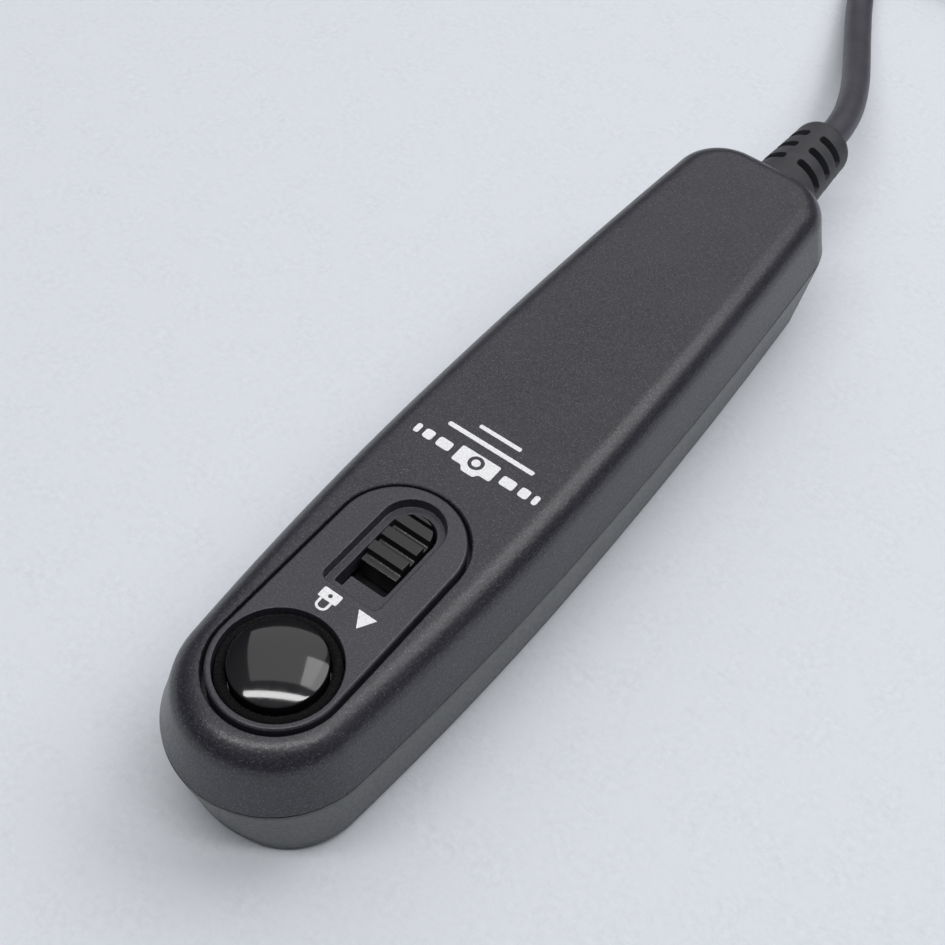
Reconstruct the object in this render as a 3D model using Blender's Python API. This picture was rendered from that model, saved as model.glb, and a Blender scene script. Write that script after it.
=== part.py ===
"""Handheld electronic cable release for a camera: a two-piece plastic case with a domed two-stage button, a sliding
button lock, spring contact leaves on a small board, a moulded strain relief and a thin cable with a flat plug.

Frame: +Z up, +Y from the button end to the cable end, origin under the middle of the case and its strain relief, on
the surface that the case rests on. All lengths below are millimetres and become metres in the mesh functions."""

import math

import bmesh
import bpy
import numpy as np
from mathutils import Matrix, Vector

for old in list(bpy.data.objects):
    bpy.data.objects.remove(old, do_unlink=True)

MM = 0.001
GAP = 0.3  # clearance kept between touching pieces

# ---- case, as seen from above (y is measured from the button axis) ----
CASE_TOP = 16.6
PARTING = 10.04
WALL = 1.5
HALF_WIDTH = 10.99
WIDEST_AT = 30.3
HEAD_CURVE = 0.00145  # how fast the side draws in toward the button end
TAIL_CURVE = 0.00068  # and toward the cable end
HEAD_TANGENT = -1.4
CASE_END = 81.6
CORNER = 6.9
EDGE_RADIUS = 2.915
WALL_DRAFT = math.radians(14.2)
FLAT_INSET = 3.927  # from the parting outline to the flat of the top
BOOT_END = 95.8
HEAD_FRONT = -10.09
BUTTON_Y = -(HEAD_FRONT + BOOT_END) / 2  # the button axis in the part's frame

# ---- control panel, button, lock ----
PANEL_R = 5.86
PANEL_OPENING_R = 6.2
PANEL_RUN = 15.4  # between the centres of its two round ends
PANEL_TOP = 16.85  # it stands a little proud of the case
HOLE_R = 5.3
CAP_R = 4.1
CAP_EDGE_Z = 17.2
CAP_TOP_Z = 18.35
STEM_R = 1.6
STEM_BOTTOM = 11.1
BUTTON_TRAVEL = 1.2
RECESS_HALF, RECESS_NEAR, RECESS_DEPTH = 2.97, 8.6, 1.1
SLOT_HALF, SLOT_NEAR, SLOT_FAR = 2.2, 10.7, 19.35
LOCK_TRAVEL = 1.8
KNOB_HALF, KNOB_LENGTH = 1.9, 6.35
KNOB_FLOOR, KNOB_TOP = 15.62, 16.38  # between its ribs and on them
LEAF_PIVOT = 16.3
LEAF_TIP = -3.0

# ---- cable, hank and plug ----
CABLE_R = 1.75
CABLE_Z = 8.65
HANK_X = -4.0
HANK_NEAR = 121.75  # y of the centre of its near fold, in the part's frame
HANK_RUN = 42.0
HANK_OUTER, HANK_INNER = 15.0, 11.5  # radii of its two rows of turns
HANK_Z = 0.8
PLUG_W, PLUG_T = 10.8, 6.4


def material(name, colour, roughness, metallic=0.0):
    mat = bpy.data.materials.new(name)
    mat.use_nodes = True
    bsdf = mat.node_tree.nodes["Principled BSDF"]
    bsdf.inputs["Base Color"].default_value = (*colour, 1.0)
    bsdf.inputs["Roughness"].default_value = roughness
    bsdf.inputs["Metallic"].default_value = metallic
    mat.diffuse_color = (*colour, 1.0)
    return mat


GRAINED = material("grained_case_plastic", (0.030, 0.030, 0.033), 0.55)
SATIN = material("satin_case_plastic", (0.026, 0.026, 0.028), 0.42)
PANEL = material("panel_plastic", (0.028, 0.028, 0.031), 0.50)
GLOSS = material("gloss_button_plastic", (0.010, 0.010, 0.012), 0.06)
FELT = material("button_seal_felt", (0.008, 0.008, 0.008), 0.95)
KNOB = material("lock_knob_plastic", (0.022, 0.022, 0.024), 0.38)
RUBBER = material("boot_rubber", (0.035, 0.035, 0.038), 0.62)
JACKET = material("cable_jacket", (0.036, 0.034, 0.040), 0.50)
STEEL = material("screw_steel", (0.35, 0.35, 0.36), 0.35, 1.0)
SPRING = material("spring_steel", (0.55, 0.55, 0.56), 0.28, 1.0)
BRONZE = material("contact_bronze", (0.62, 0.42, 0.22), 0.30, 1.0)
BOARD = material("board_laminate", (0.05, 0.17, 0.08), 0.55)
BLOCK = material("natural_moulding", (0.55, 0.53, 0.48), 0.50)
WIRES = [
    material("wire_red", (0.45, 0.03, 0.03), 0.45),
    material("wire_white", (0.72, 0.72, 0.70), 0.45),
    material("wire_blue", (0.04, 0.09, 0.40), 0.45),
]
PLATED = material("plug_plating", (0.70, 0.70, 0.71), 0.22, 1.0)
TIE = material("tie_fabric", (0.02, 0.02, 0.02), 0.85)


def finish(obj, mat, origin=(0, 0, 0), sharp=35.0):
    """Smooth shading, a material, and the object's origin moved to a point in mm without moving the shape."""
    at = Vector(origin) * MM
    obj.data.transform(Matrix.Translation(-at))
    obj.location = at
    obj.data.shade_smooth()
    obj.data.set_sharp_from_angle(angle=math.radians(sharp))
    obj.data.materials.append(mat)
    return obj


def mesh_object(name, bm, mat, origin=(0, 0, 0), sharp=35.0):
    bmesh.ops.recalc_face_normals(bm, faces=bm.faces)
    bmesh.ops.triangulate(bm, faces=[f for f in bm.faces if len(f.verts) > 4])
    mesh = bpy.data.meshes.new(name)
    bm.to_mesh(mesh)
    bm.free()
    obj = bpy.data.objects.new(name, mesh)
    bpy.context.scene.collection.objects.link(obj)
    return finish(obj, mat, origin, sharp)


def loft(rings, closed=False):
    """A bmesh from rings of equal count, in mm: joined end to end when closed, else capped at both ends."""
    bm = bmesh.new()
    rows = [[bm.verts.new(Vector(p) * MM) for p in ring] for ring in rings]
    n = len(rows[0])
    pairs = list(zip(rows, rows[1:] + rows[:1] if closed else rows[1:]))
    for a, b in pairs:
        for i in range(n):
            j = (i + 1) % n
            bm.faces.new((a[i], a[j], b[j], b[i]))
    if not closed:
        bm.faces.new(rows[0])
        bm.faces.new(rows[-1])
    return bm


def turned(name, profile, mat, at=(0.0, 0.0), n=32, axis="Z", origin=None, sharp=35.0):
    """A turned solid. The profile is (radius, height) in mm: an open one starts and ends on the axis, a closed one
    never touches it. The axis is Z at (x, y), or Y at (x, z)."""
    bm = bmesh.new()
    ring_of = lambda r, h: [
        (r * math.cos(2 * math.pi * k / n), r * math.sin(2 * math.pi * k / n), h)
        for k in range(n)
    ]
    place = (
        (lambda p: Vector((p[0] + at[0], p[1] + at[1], p[2])) * MM)
        if axis == "Z"
        else (lambda p: Vector((p[0] + at[0], p[2], p[1] + at[1])) * MM)
    )
    on_axis = profile[0][0] == 0
    rows = [
        [bm.verts.new(place((0, 0, h)))] if r == 0 else [bm.verts.new(place(p)) for p in ring_of(r, h)]
        for r, h in profile
    ]
    ways = list(zip(rows, rows[1:] if on_axis else rows[1:] + rows[:1]))
    for a, b in ways:
        for k in range(n):
            j = (k + 1) % n
            if len(a) == 1:
                bm.faces.new((a[0], b[j], b[k]))
            elif len(b) == 1:
                bm.faces.new((a[k], a[j], b[0]))
            else:
                bm.faces.new((a[k], a[j], b[j], b[k]))
    return mesh_object(name, bm, mat, origin or (0, 0, 0), sharp)


def prism(name, outline, low, high, mat, origin=(0, 0, 0), sharp=35.0):
    return mesh_object(
        name,
        loft([[(x, y, low) for x, y in outline], [(x, y, high) for x, y in outline]]),
        mat,
        origin,
        sharp,
    )


def slab(name, x, y, z, mat, origin=(0, 0, 0)):
    return prism(name, [(x[0], y[0]), (x[1], y[0]), (x[1], y[1]), (x[0], y[1])], z[0], z[1], mat, origin)


def helper(obj):
    obj.hide_render = True
    obj.display_type = "WIRE"
    return obj


def combine(obj, other, operation="DIFFERENCE"):
    """A Boolean. The two shells take the manifold solver, because the exact one leaves their posts open."""
    modifier = obj.modifiers.new(f"{operation.lower()}_{other.name}", "BOOLEAN")
    modifier.operation = operation
    modifier.solver = "MANIFOLD" if obj.name.endswith("_shell") else "EXACT"
    modifier.object = helper(other)
    return obj


def round_bar(name, r, z0, z1, x, y, n=24):
    return turned(name, [(0, z0), (r, z0), (r, z1), (0, z1)], STEEL, at=(x, y), n=n)


def stadium(r, run, near=0.0, n=16):
    """An outline with a round end at each end of a straight run along Y."""
    low = [(r * math.cos(t), near + r * math.sin(t)) for t in np.linspace(-math.pi, 0, n + 1)]
    high = [(r * math.cos(t), near + run + r * math.sin(t)) for t in np.linspace(0, math.pi, n + 1)]
    return low + high


def arch(half, near, far, n=12, corner=0.0):
    """An outline that is square at its near end and round at its far end."""
    pts = []
    if corner:
        for cx, start in ((-half + corner, math.pi), (half - corner, 1.5 * math.pi)):
            pts += [
                (cx + corner * math.cos(start + a), near + corner + corner * math.sin(start + a))
                for a in np.linspace(0, math.pi / 2, 4)
            ]
    else:
        pts += [(-half, near), (half, near)]
    pts += [
        (half * math.cos(t), far - half + half * math.sin(t)) for t in np.linspace(0, math.pi, n + 1)
    ]
    return pts


def shifted(outline):
    """From the button axis to the part's frame."""
    return [(x, y + BUTTON_Y) for x, y in outline]


# ------------------------------------------------------------------------------------------------
# case
# ------------------------------------------------------------------------------------------------
def half_width(y):
    return HALF_WIDTH - (HEAD_CURVE if y < WIDEST_AT else TAIL_CURVE) * (y - WIDEST_AT) ** 2


def case_outline():
    """The parting outline, counter-clockwise from the front: a round head, bowed sides and a square tail."""
    slope = 2 * HEAD_CURVE * (WIDEST_AT - HEAD_TANGENT)
    centre = HEAD_TANGENT + half_width(HEAD_TANGENT) * slope
    radius = half_width(HEAD_TANGENT) * math.hypot(1, slope)
    meet = math.atan2(HEAD_TANGENT - centre, half_width(HEAD_TANGENT))
    side = [
        (radius * math.cos(t), centre + radius * math.sin(t))
        for t in np.linspace(-math.pi / 2, meet, 15)
    ]
    side += [(half_width(y), y) for y in np.linspace(HEAD_TANGENT, CASE_END - CORNER, 13)[1:]]
    wide = half_width(CASE_END - CORNER)
    side += [
        (wide - CORNER + CORNER * math.cos(t), CASE_END - CORNER + CORNER * math.sin(t))
        for t in np.linspace(0, math.pi / 2, 9)[1:]
    ]
    side[0] = (0.0, side[0][1])
    return side + [(0.0, CASE_END)] + [(-x, y) for x, y in side[:0:-1]]


OUTLINE = np.array(case_outline())


def case_ring(inset, z, head=0.0):
    """The outline drawn in by inset, and by up to head more at the button end."""
    step = np.roll(OUTLINE, -1, 0) - np.roll(OUTLINE, 1, 0)
    out = np.stack([step[:, 1], -step[:, 0]], 1) / np.hypot(step[:, 0], step[:, 1])[:, None]
    more = inset + head * np.clip(-out[:, 1], 0, 1) ** 2
    pts = OUTLINE - out * more[:, None]
    return [(float(x), float(y) + BUTTON_Y, z) for x, y in pts]


def upper_rings():
    rings = [case_ring(0, PARTING + GAP / 2)]
    for t in np.linspace(WALL_DRAFT, math.pi / 2, 7):
        rings.append(
            case_ring(
                FLAT_INSET - EDGE_RADIUS * math.cos(t), CASE_TOP - EDGE_RADIUS * (1 - math.sin(t))
            )
        )
    return rings


def draft_at(z):
    return (z - PARTING) * math.tan(WALL_DRAFT)


# the lower shell's lip stands inside a step at the foot of the upper shell's wall
LIP_TOP = 11.0
STEP_TOP = LIP_TOP + GAP
inner = [
    (4.05, CASE_TOP - WALL),
    (3.0, 14.5),
    (draft_at(13.5) + WALL, 13.5),
    (draft_at(STEP_TOP) + WALL, STEP_TOP),
    (draft_at(STEP_TOP) + 0.7, STEP_TOP),
    (0.7, PARTING + GAP / 2),
]
upper = mesh_object(
    "upper_shell",
    loft([case_ring(i, z) for i, z in inner[::-1]][::-1] + upper_rings(), closed=False),
    GRAINED,
    sharp=50,
)

LOWER = [(0, PARTING - GAP / 2, 0), (0.37, 6.5, 0.37), (0.8, 2.8, 0.8), (1.0, 1.3, 1.05), (1.4, 0.45, 1.15), (2.2, 0, 1.15)]
LOWER_INNER = [
    (1.0, PARTING - GAP / 2, 0),
    (1.35, LIP_TOP, 0),
    (1.95, LIP_TOP, 0),
    (WALL, 9.0, 0),
    (0.37 + WALL, 6.5, 0.37), (0.8 + WALL, 2.8, 0.8),
    (1.6 + WALL, 1.5, 1.0),
]
lower = mesh_object(
    "lower_shell",
    loft(
        [case_ring(i, z, h) for i, z, h in LOWER[::-1]]
        + [case_ring(i, z, h) for i, z, h in LOWER_INNER]
    ),
    SATIN,
    sharp=50,
)

panel_cut = prism("cut_panel_opening", shifted(stadium(PANEL_OPENING_R, PANEL_RUN, n=20)), 13.8, 18, STEEL)
combine(upper, panel_cut)

CASE_SCREWS = {"case_screw_front": 27.0, "case_screw_rear": 57.0}
for label, y in CASE_SCREWS.items():
    boss = round_bar(f"boss_{label}", 2.4, 9.0, CASE_TOP - 0.7, 0, y + BUTTON_Y)
    combine(upper, boss, "UNION")
    pilot = round_bar(f"pilot_{label}", 1.1, 8.0, 14.0, 0, y + BUTTON_Y, n=16)
    combine(upper, pilot)
    post = round_bar(f"post_{label}", 3.1, 0.6, 8.7, 0, y + BUTTON_Y)
    combine(lower, post, "UNION")
    bore = turned(
        f"bore_{label}",
        [(0, -1), (2.3, -1), (2.3, 3.0), (1.3, 3.0), (1.3, 9.5), (0, 9.5)],
        STEEL,
        at=(0, y + BUTTON_Y),
        n=24,
    )
    combine(lower, bore)

BOARD_SCREWS = {"board_screw_left": (-4.4, 33.0), "board_screw_right": (4.4, 33.0)}
for label, (x, y) in BOARD_SCREWS.items():
    combine(lower, round_bar(f"post_{label}", 1.7, 0.9, 4.7, x, y + BUTTON_Y, n=16), "UNION")
    combine(lower, round_bar(f"pilot_{label}", 0.9, 2.2, 5.5, x, y + BUTTON_Y, n=12))

boot_hole = turned(
    "cut_boot_hole",
    [(0, 76 + BUTTON_Y), (4.4, 76 + BUTTON_Y), (4.4, 86 + BUTTON_Y), (0, 86 + BUTTON_Y)],
    STEEL,
    at=(0, CABLE_Z),
    n=32,
    axis="Y",
)
combine(upper, boot_hole)
combine(lower, boot_hole)

# ------------------------------------------------------------------------------------------------
# control panel with the button hole, the lock's recess and its slot
# ------------------------------------------------------------------------------------------------
panel = prism("control_panel", shifted(stadium(PANEL_R, PANEL_RUN, n=20)), 14.3, PANEL_TOP, PANEL)
flange = prism("flange_control_panel", shifted(stadium(6.35, PANEL_RUN, n=20)), 13.9, 14.5, STEEL)
combine(panel, flange, "UNION")
combine(panel, round_bar("cut_button_hole", HOLE_R, 13, 18, 0, BUTTON_Y, n=40))
combine(
    panel,
    prism(
        "cut_lock_recess",
        shifted(arch(RECESS_HALF, RECESS_NEAR, SLOT_FAR + 0.8, corner=0.7)),
        PANEL_TOP - RECESS_DEPTH,
        18,
        STEEL,
    ),
)
combine(panel, prism("cut_lock_slot", shifted(arch(SLOT_HALF, SLOT_NEAR, SLOT_FAR)), 13, 16.2, STEEL))
combine(
    panel,
    slab("cut_lock_slot_step", (-SLOT_HALF, -SLOT_HALF + 0.85), (SLOT_NEAR - 1.2 + BUTTON_Y, SLOT_NEAR + 1 + BUTTON_Y), (13, 16.2), STEEL),
)

turned(
    "button_seal",
    [(CAP_R + GAP, 15.15), (5.0, 15.15), (5.0, 16.4), (CAP_R + GAP, 16.4)],
    FELT,
    at=(0, BUTTON_Y),
    n=40,
)

dome = [
    (CAP_R * math.cos(t), CAP_EDGE_Z + (CAP_TOP_Z - CAP_EDGE_Z) * math.sin(t))
    for t in np.linspace(0, math.pi / 2, 8)[:-1]
]
turned(
    "shutter_button",
    [(0, STEM_BOTTOM), (STEM_R, STEM_BOTTOM), (STEM_R, 15.4), (3.3, 15.4), (3.3, 13.6), (4.8, 13.6), (4.8, 14.7), (CAP_R, 14.7)]
    + dome
    + [(0, CAP_TOP_Z)],
    GLOSS,
    at=(0, BUTTON_Y),
    n=40,
    origin=(0, BUTTON_Y, STEM_BOTTOM),
)
turned(
    "button_guide",
    [(STEM_R + 0.35, 11.6), (6.1, 11.6), (6.1, 13.55), (5.25, 13.55), (5.25, 12.2), (STEM_R + 0.35, 12.2)],
    BLOCK,
    at=(0, BUTTON_Y),
    n=32,
)


def curve_object(name, points, radius, mat, sides=2):
    """A tube along points in mm, closed with flat caps."""
    data = bpy.data.curves.new(name, "CURVE")
    data.dimensions = "3D"
    data.bevel_depth = radius * MM
    data.bevel_resolution = sides
    data.use_fill_caps = True
    data.twist_mode = "MINIMUM"
    spline = data.splines.new("POLY")
    spline.points.add(len(points) - 1)
    for point, p in zip(spline.points, points):
        point.co = (p[0] * MM, p[1] * MM, p[2] * MM, 1.0)
    obj = bpy.data.objects.new(name, data)
    bpy.context.scene.collection.objects.link(obj)
    data.materials.append(mat)
    return obj


def coil_points(radius, low, high, turns, at, per_turn=10):
    n = int(turns * per_turn)
    return [
        (
            at[0] + radius * math.cos(2 * math.pi * k / per_turn),
            at[1] + radius * math.sin(2 * math.pi * k / per_turn),
            low + (high - low) * k / n,
        )
        for k in range(n + 1)
    ]


curve_object(
    "button_return_spring", coil_points(2.5, 12.75, 14.9, 3.5, (0, BUTTON_Y)), 0.18, SPRING, sides=1
)

# ---- lock slider: a ribbed knob on a plate under the panel ----
KNOB_NEAR = SLOT_FAR - 0.4 - KNOB_LENGTH
knob = prism(
    "lock_slider",
    shifted(arch(KNOB_HALF, KNOB_NEAR, SLOT_FAR - 0.4)),
    13.3,
    KNOB_TOP,
    KNOB,
    origin=(0, KNOB_NEAR + BUTTON_Y, 13.3),
)
for k, (low, high) in enumerate([(12.0, 13.42), (14.5, 15.3), (16.38, 17.18), (18.26, 18.62)]):
    combine(knob, slab(f"cut_rib_{k}", (-3, 3), (low + BUTTON_Y, high + BUTTON_Y), (KNOB_FLOOR, 17), STEEL))
PLATE_NEAR, PLATE_FAR = 8.5, 21.2
plate_outline = [(-3.3, PLATE_NEAR), (3.3, PLATE_NEAR)]
for notch in (17.0, 17.0 + LOCK_TRAVEL):
    plate_outline += [(3.3, notch - 0.4), (3.0, notch), (3.3, notch + 0.4)]
plate_outline += [(3.3, PLATE_FAR), (-3.3, PLATE_FAR)]
prism(
    "lock_latch_plate",
    shifted(plate_outline),
    12.2,
    13.0,
    SPRING,
    origin=(0, PLATE_NEAR + BUTTON_Y, 12.2),
)
DETENT = [(3.75, 13.0), (3.75, 16.5), (3.65, 17.0), (3.75, 17.5), (3.75, 22.0), (3.95, 22.0), (3.95, 17.5), (3.85, 17.0), (3.95, 16.5), (3.95, 13.0)]
prism("lock_detent_spring", shifted(DETENT), 12.1, 13.4, SPRING)

# ------------------------------------------------------------------------------------------------
# contact leaves, their block and the board
# ------------------------------------------------------------------------------------------------
def leaf(name, top, rivet, moving=True):
    strip = [(-1.9, LEAF_PIVOT), (-1.9, 1.5), (-1.2, LEAF_TIP), (1.2, LEAF_TIP), (1.9, 1.5), (1.9, LEAF_PIVOT)]
    obj = prism(name, shifted(strip), top - 0.2, top, BRONZE, origin=(0, LEAF_PIVOT + BUTTON_Y, top - 0.1))
    if rivet:
        combine(obj, round_bar(f"rivet_{name}", 0.6, top - 0.1, top + 0.16, 0, -1.5 + BUTTON_Y, n=14), "UNION")
    return obj


leaf("contact_leaf_common", 10.8, False)
leaf("contact_leaf_half_press", 9.5, True)
leaf("contact_leaf_full_press", 8.2, True)
slab("contact_block", (-3.6, 3.6), (LEAF_PIVOT + GAP + BUTTON_Y, 22.2 + BUTTON_Y), (6.5, 11.4), BLOCK)

board = prism(
    "circuit_board",
    shifted([(-6.0, 3.0), (-5.0, 2.0), (5.0, 2.0), (6.0, 3.0), (6.0, 46.0), (-6.0, 46.0)]),
    5.0,
    6.2,
    BOARD,
)
combine(board, round_bar("cut_board_case_screw", 3.5, 4, 7, 0, 27.0 + BUTTON_Y))
for label, (x, y) in BOARD_SCREWS.items():
    combine(board, round_bar(f"cut_{label}", 0.95, 4, 7, x, y + BUTTON_Y, n=12))


def screw(name, x, y, head_r, seat, head_h, shank_r, end, up=True):
    """A pan-head screw with a cross recess: its shank rises above the head when up, else runs below it."""
    s = 1 if up else -1
    rim = 0.25
    profile = [
        (0, seat - s * head_h),
        (head_r - rim * 2, seat - s * head_h),
        (head_r, seat - s * (head_h - rim * 2)),
        (head_r, seat),
        (shank_r, seat),
        (shank_r, end - s * 0.5),
        (shank_r * 0.4, end),
        (0, end),
    ]
    obj = turned(name, profile, STEEL, at=(x, y + BUTTON_Y), n=20, origin=(x, y + BUTTON_Y, seat))
    face = seat - s * head_h
    lo, hi = sorted((face - s * 0.5, face + s * min(0.55, head_h * 0.6)))
    for k, (a, b) in enumerate(((0.62, 0.16), (0.16, 0.62))):
        combine(
            obj,
            slab(
                f"cross_{k}_{name}",
                (x - head_r * a, x + head_r * a),
                (y + BUTTON_Y - head_r * b, y + BUTTON_Y + head_r * b),
                (lo, hi),
                STEEL,
            ),
        )
    return obj


for label, y in CASE_SCREWS.items():
    screw(label, 0, y, 1.95, 2.7, 1.9, 0.8, 12.5)
for label, (x, y) in BOARD_SCREWS.items():
    screw(label, x, y, 1.35, 6.5, 0.9, 0.6, 2.8, up=False)

# ------------------------------------------------------------------------------------------------
# strain relief, cable and wires inside the case
# ------------------------------------------------------------------------------------------------
y0 = BUTTON_Y
turned(
    "strain_relief_boot",
    [
        (0, 75.6 + y0),
        (3.2, 75.6 + y0),
        (3.4, 76.6 + y0),
        (4.9, 76.6 + y0),
        (4.9, 78.3 + y0),
        (4.0, 78.3 + y0),
        (4.0, 83.0 + y0),
        (3.75, 88.0 + y0),
        (3.45, 93.4 + y0),
        (3.15, 95.0 + y0),
        (2.6, BOOT_END + y0),
        (0, BOOT_END + y0),
    ],
    RUBBER,
    at=(0, CABLE_Z),
    n=32,
    axis="Y",
)


def smooth_route(knots, step):
    """Points at an even step along a natural cubic spline through the knots."""
    k = np.array(knots, float)
    t = np.concatenate([[0], np.cumsum(np.linalg.norm(np.diff(k, axis=0), axis=1))])
    h = np.diff(t)
    n = len(k)
    a = np.zeros((n, n))
    b = np.zeros((n, 3))
    a[0, 0] = a[-1, -1] = 1
    for i in range(1, n - 1):
        a[i, i - 1], a[i, i], a[i, i + 1] = h[i - 1], 2 * (h[i - 1] + h[i]), h[i]
        b[i] = 6 * ((k[i + 1] - k[i]) / h[i] - (k[i] - k[i - 1]) / h[i - 1])
    m = np.linalg.solve(a, b)

    def at(s):
        i = min(max(int(np.searchsorted(t, s)) - 1, 0), n - 2)
        u, v = s - t[i], t[i + 1] - s
        return (
            (m[i] * v**3 + m[i + 1] * u**3) / (6 * h[i])
            + (k[i] / h[i] - m[i] * h[i] / 6) * v
            + (k[i + 1] / h[i] - m[i + 1] * h[i] / 6) * u
        )

    fine = np.array([at(s) for s in np.linspace(0, t[-1], 400)])
    run = np.concatenate([[0], np.cumsum(np.linalg.norm(np.diff(fine, axis=0), axis=1))])
    count = max(2, int(round(run[-1] / step)) + 1)
    return [
        tuple(np.interp(s, run, fine[:, c]) for c in range(3))
        for s in np.linspace(0, run[-1], count)
    ]


curve_object(
    "inner_cable",
    [(0, y + y0, CABLE_Z) for y in (65.0, 70.0, 75.3)],
    CABLE_R,
    JACKET,
)
clamp = slab("cord_clamp", (-4.6, 4.6), (68.5 + y0, 72.0 + y0), (3.2, 9.4), BLOCK)
combine(
    clamp,
    turned(
        "cut_clamp",
        [(0, 66 + y0), (CABLE_R + GAP, 66 + y0), (CABLE_R + GAP, 74 + y0), (0, 74 + y0)],
        STEEL,
        at=(0, CABLE_Z),
        n=20,
        axis="Y",
    ),
)
ROUTES = {
    "wire_common": [(-0.85, 64.5, 9.0), (-3.0, 61.5, 8.9), (-4.6, 57.0, 8.3), (-4.2, 50.0, 7.3), (-3.2, 44.0, 7.0), (-3.1, 41.5, 7.0)],
    "wire_half_press": [(0.0, 64.5, 7.9), (2.2, 62.0, 7.7), (4.5, 57.0, 7.4), (3.0, 50.0, 7.2), (0.4, 44.0, 7.0), (0.2, 41.5, 7.0)],
    "wire_full_press": [(0.85, 64.5, 9.2), (3.2, 61.5, 9.4), (5.7, 57.0, 9.0), (5.0, 50.0, 7.6), (3.3, 44.0, 7.0), (3.1, 41.5, 7.0)],
}
for (label, knots), mat in zip(ROUTES.items(), WIRES):
    curve_object(label, smooth_route([(x, y + y0, z) for x, y, z in knots], 1.6), 0.42, mat, sides=1)

# ------------------------------------------------------------------------------------------------
# the cable outside the case, its hank, its tie and its plug
# ------------------------------------------------------------------------------------------------
LEAD = [
    (0.0, BOOT_END + y0 + GAP, CABLE_Z),
    (0.0, 56.5, 8.5),
    (-0.9, 61.0, 7.8),
    (-3.0, 67.5, 6.3),
    (-6.6, 76.0, 4.4),
    (-10.4, 84.5, 2.9),
    (-14.1, 93.0, 2.05),
    (-17.3, 103.0, 1.9),
    (-18.8, 112.0, 2.3),
    (-19.0, HANK_NEAR - GAP, HANK_Z + CABLE_R),
]
curve_object("cable_lead", smooth_route(LEAD, 3.6), CABLE_R, JACKET)


def racetrack(r, n=14):
    return [
        (HANK_X + x, y) for x, y in stadium(r, HANK_RUN, near=HANK_NEAR, n=n)
    ]


outer, hole = racetrack(HANK_OUTER + CABLE_R), racetrack(HANK_INNER - CABLE_R)
TOP = HANK_Z + 4 * CABLE_R
hank = mesh_object(
    "cable_hank",
    loft(
        [
            [(x, y, HANK_Z) for x, y in outer],
            [(x, y, TOP) for x, y in outer],
            [(x, y, TOP) for x, y in hole],
            [(x, y, HANK_Z) for x, y in hole],
        ],
        closed=True,
    ),
    JACKET,
)
combine(
    hank,
    slab(
        "cut_lead_entry",
        (HANK_X - 20, HANK_X - HANK_OUTER + CABLE_R + GAP),
        (HANK_NEAR - 20, HANK_NEAR),
        (-1, HANK_Z + 2 * CABLE_R + GAP),
        STEEL,
    ),
)
TAIL_RUN, TAIL_FROM = 20.0, 8.0


def tail_point(t):
    ease = t * t * (3 - 2 * t)
    return (
        HANK_X - TAIL_FROM * (1 - ease),
        HANK_NEAR + TAIL_RUN * t,
        HANK_Z + CABLE_R + (PLUG_T / 2 - HANK_Z - CABLE_R) * ease,
    )


curve_object("cable_tail", [tail_point(t) for t in np.linspace(0.22, 1, 7)], CABLE_R, JACKET)

tx0, tx1 = HANK_X + HANK_INNER - CABLE_R - GAP, HANK_X + HANK_OUTER + CABLE_R + GAP
tz0, tz1 = 0.5, TOP + GAP
tie_section = lambda grow: [
    (tx0 - grow, tz0 - grow), (tx1 + grow, tz0 - grow), (tx1 + grow, tz1 + grow), (tx0 - grow, tz1 + grow)
]
ty = HANK_NEAR + 18.5
mesh_object(
    "hank_tie",
    loft(
        [
            [(x, ty, z) for x, z in tie_section(0.5)],
            [(x, ty + 5, z) for x, z in tie_section(0.5)],
            [(x, ty + 5, z) for x, z in tie_section(0)],
            [(x, ty, z) for x, z in tie_section(0)],
        ],
        closed=True,
    ),
    TIE,
)

py = HANK_NEAR + TAIL_RUN + GAP
turned(
    "plug_strain_relief",
    [(0, py), (2.2, py), (2.6, py + 1.0), (2.9, py + 7.7), (0, py + 7.7)],
    RUBBER,
    at=(HANK_X, PLUG_T / 2),
    n=20,
    axis="Y",
)


def rounded(w, t, r, n=5):
    """A rounded rectangle across X and Z."""
    pts = []
    for cx, cz, start in ((w / 2 - r, t / 2 - r, 0), (-w / 2 + r, t / 2 - r, 90), (-w / 2 + r, -t / 2 + r, 180), (w / 2 - r, -t / 2 + r, 270)):
        pts += [
            (cx + r * math.cos(math.radians(start + a)), cz + r * math.sin(math.radians(start + a)))
            for a in np.linspace(0, 90, n)
        ]
    return pts


def across(w, t, r, y, n=5):
    return [(HANK_X + x, y, PLUG_T / 2 + z) for x, z in rounded(w, t, r, n)]


by = py + 7.7 + GAP
mesh_object(
    "plug_body",
    loft(
        [
            across(7.6, 5.4, 1.6, by),
            across(9.6, 6.1, 1.6, by + 1.2),
            across(PLUG_W, PLUG_T, 1.6, by + 3.0),
            across(PLUG_W, PLUG_T, 1.6, by + 13.6),
            across(PLUG_W - 0.8, PLUG_T - 0.8, 1.3, by + 14.2),
        ]
    ),
    SATIN,
)
sy = by + 14.2 + GAP
mesh_object(
    "plug_shell",
    loft(
        [
            across(8.3, 2.8, 0.8, sy, 4),
            across(8.3, 2.8, 0.8, sy + 5.2, 4),
            across(7.7, 2.2, 0.5, sy + 5.2, 4),
            across(7.7, 2.2, 0.5, sy, 4),
        ],
        closed=True,
    ),
    PLATED,
)
slab(
    "plug_contact_tongue",
    (HANK_X - 3.2, HANK_X + 3.2),
    (sy, sy + 4.6),
    (PLUG_T / 2 - 0.75, PLUG_T / 2 + 0.1),
    SATIN,
)
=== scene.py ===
"""Looks of a handheld electronic cable release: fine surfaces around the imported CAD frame, procedural materials,
a plain pale floor, soft studio light and one camera. Metres, +Z up, +Y from the button end to the cable end."""

import math

import bmesh
import bpy
import numpy as np
from mathutils import Matrix, Vector, geometry, noise


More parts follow.
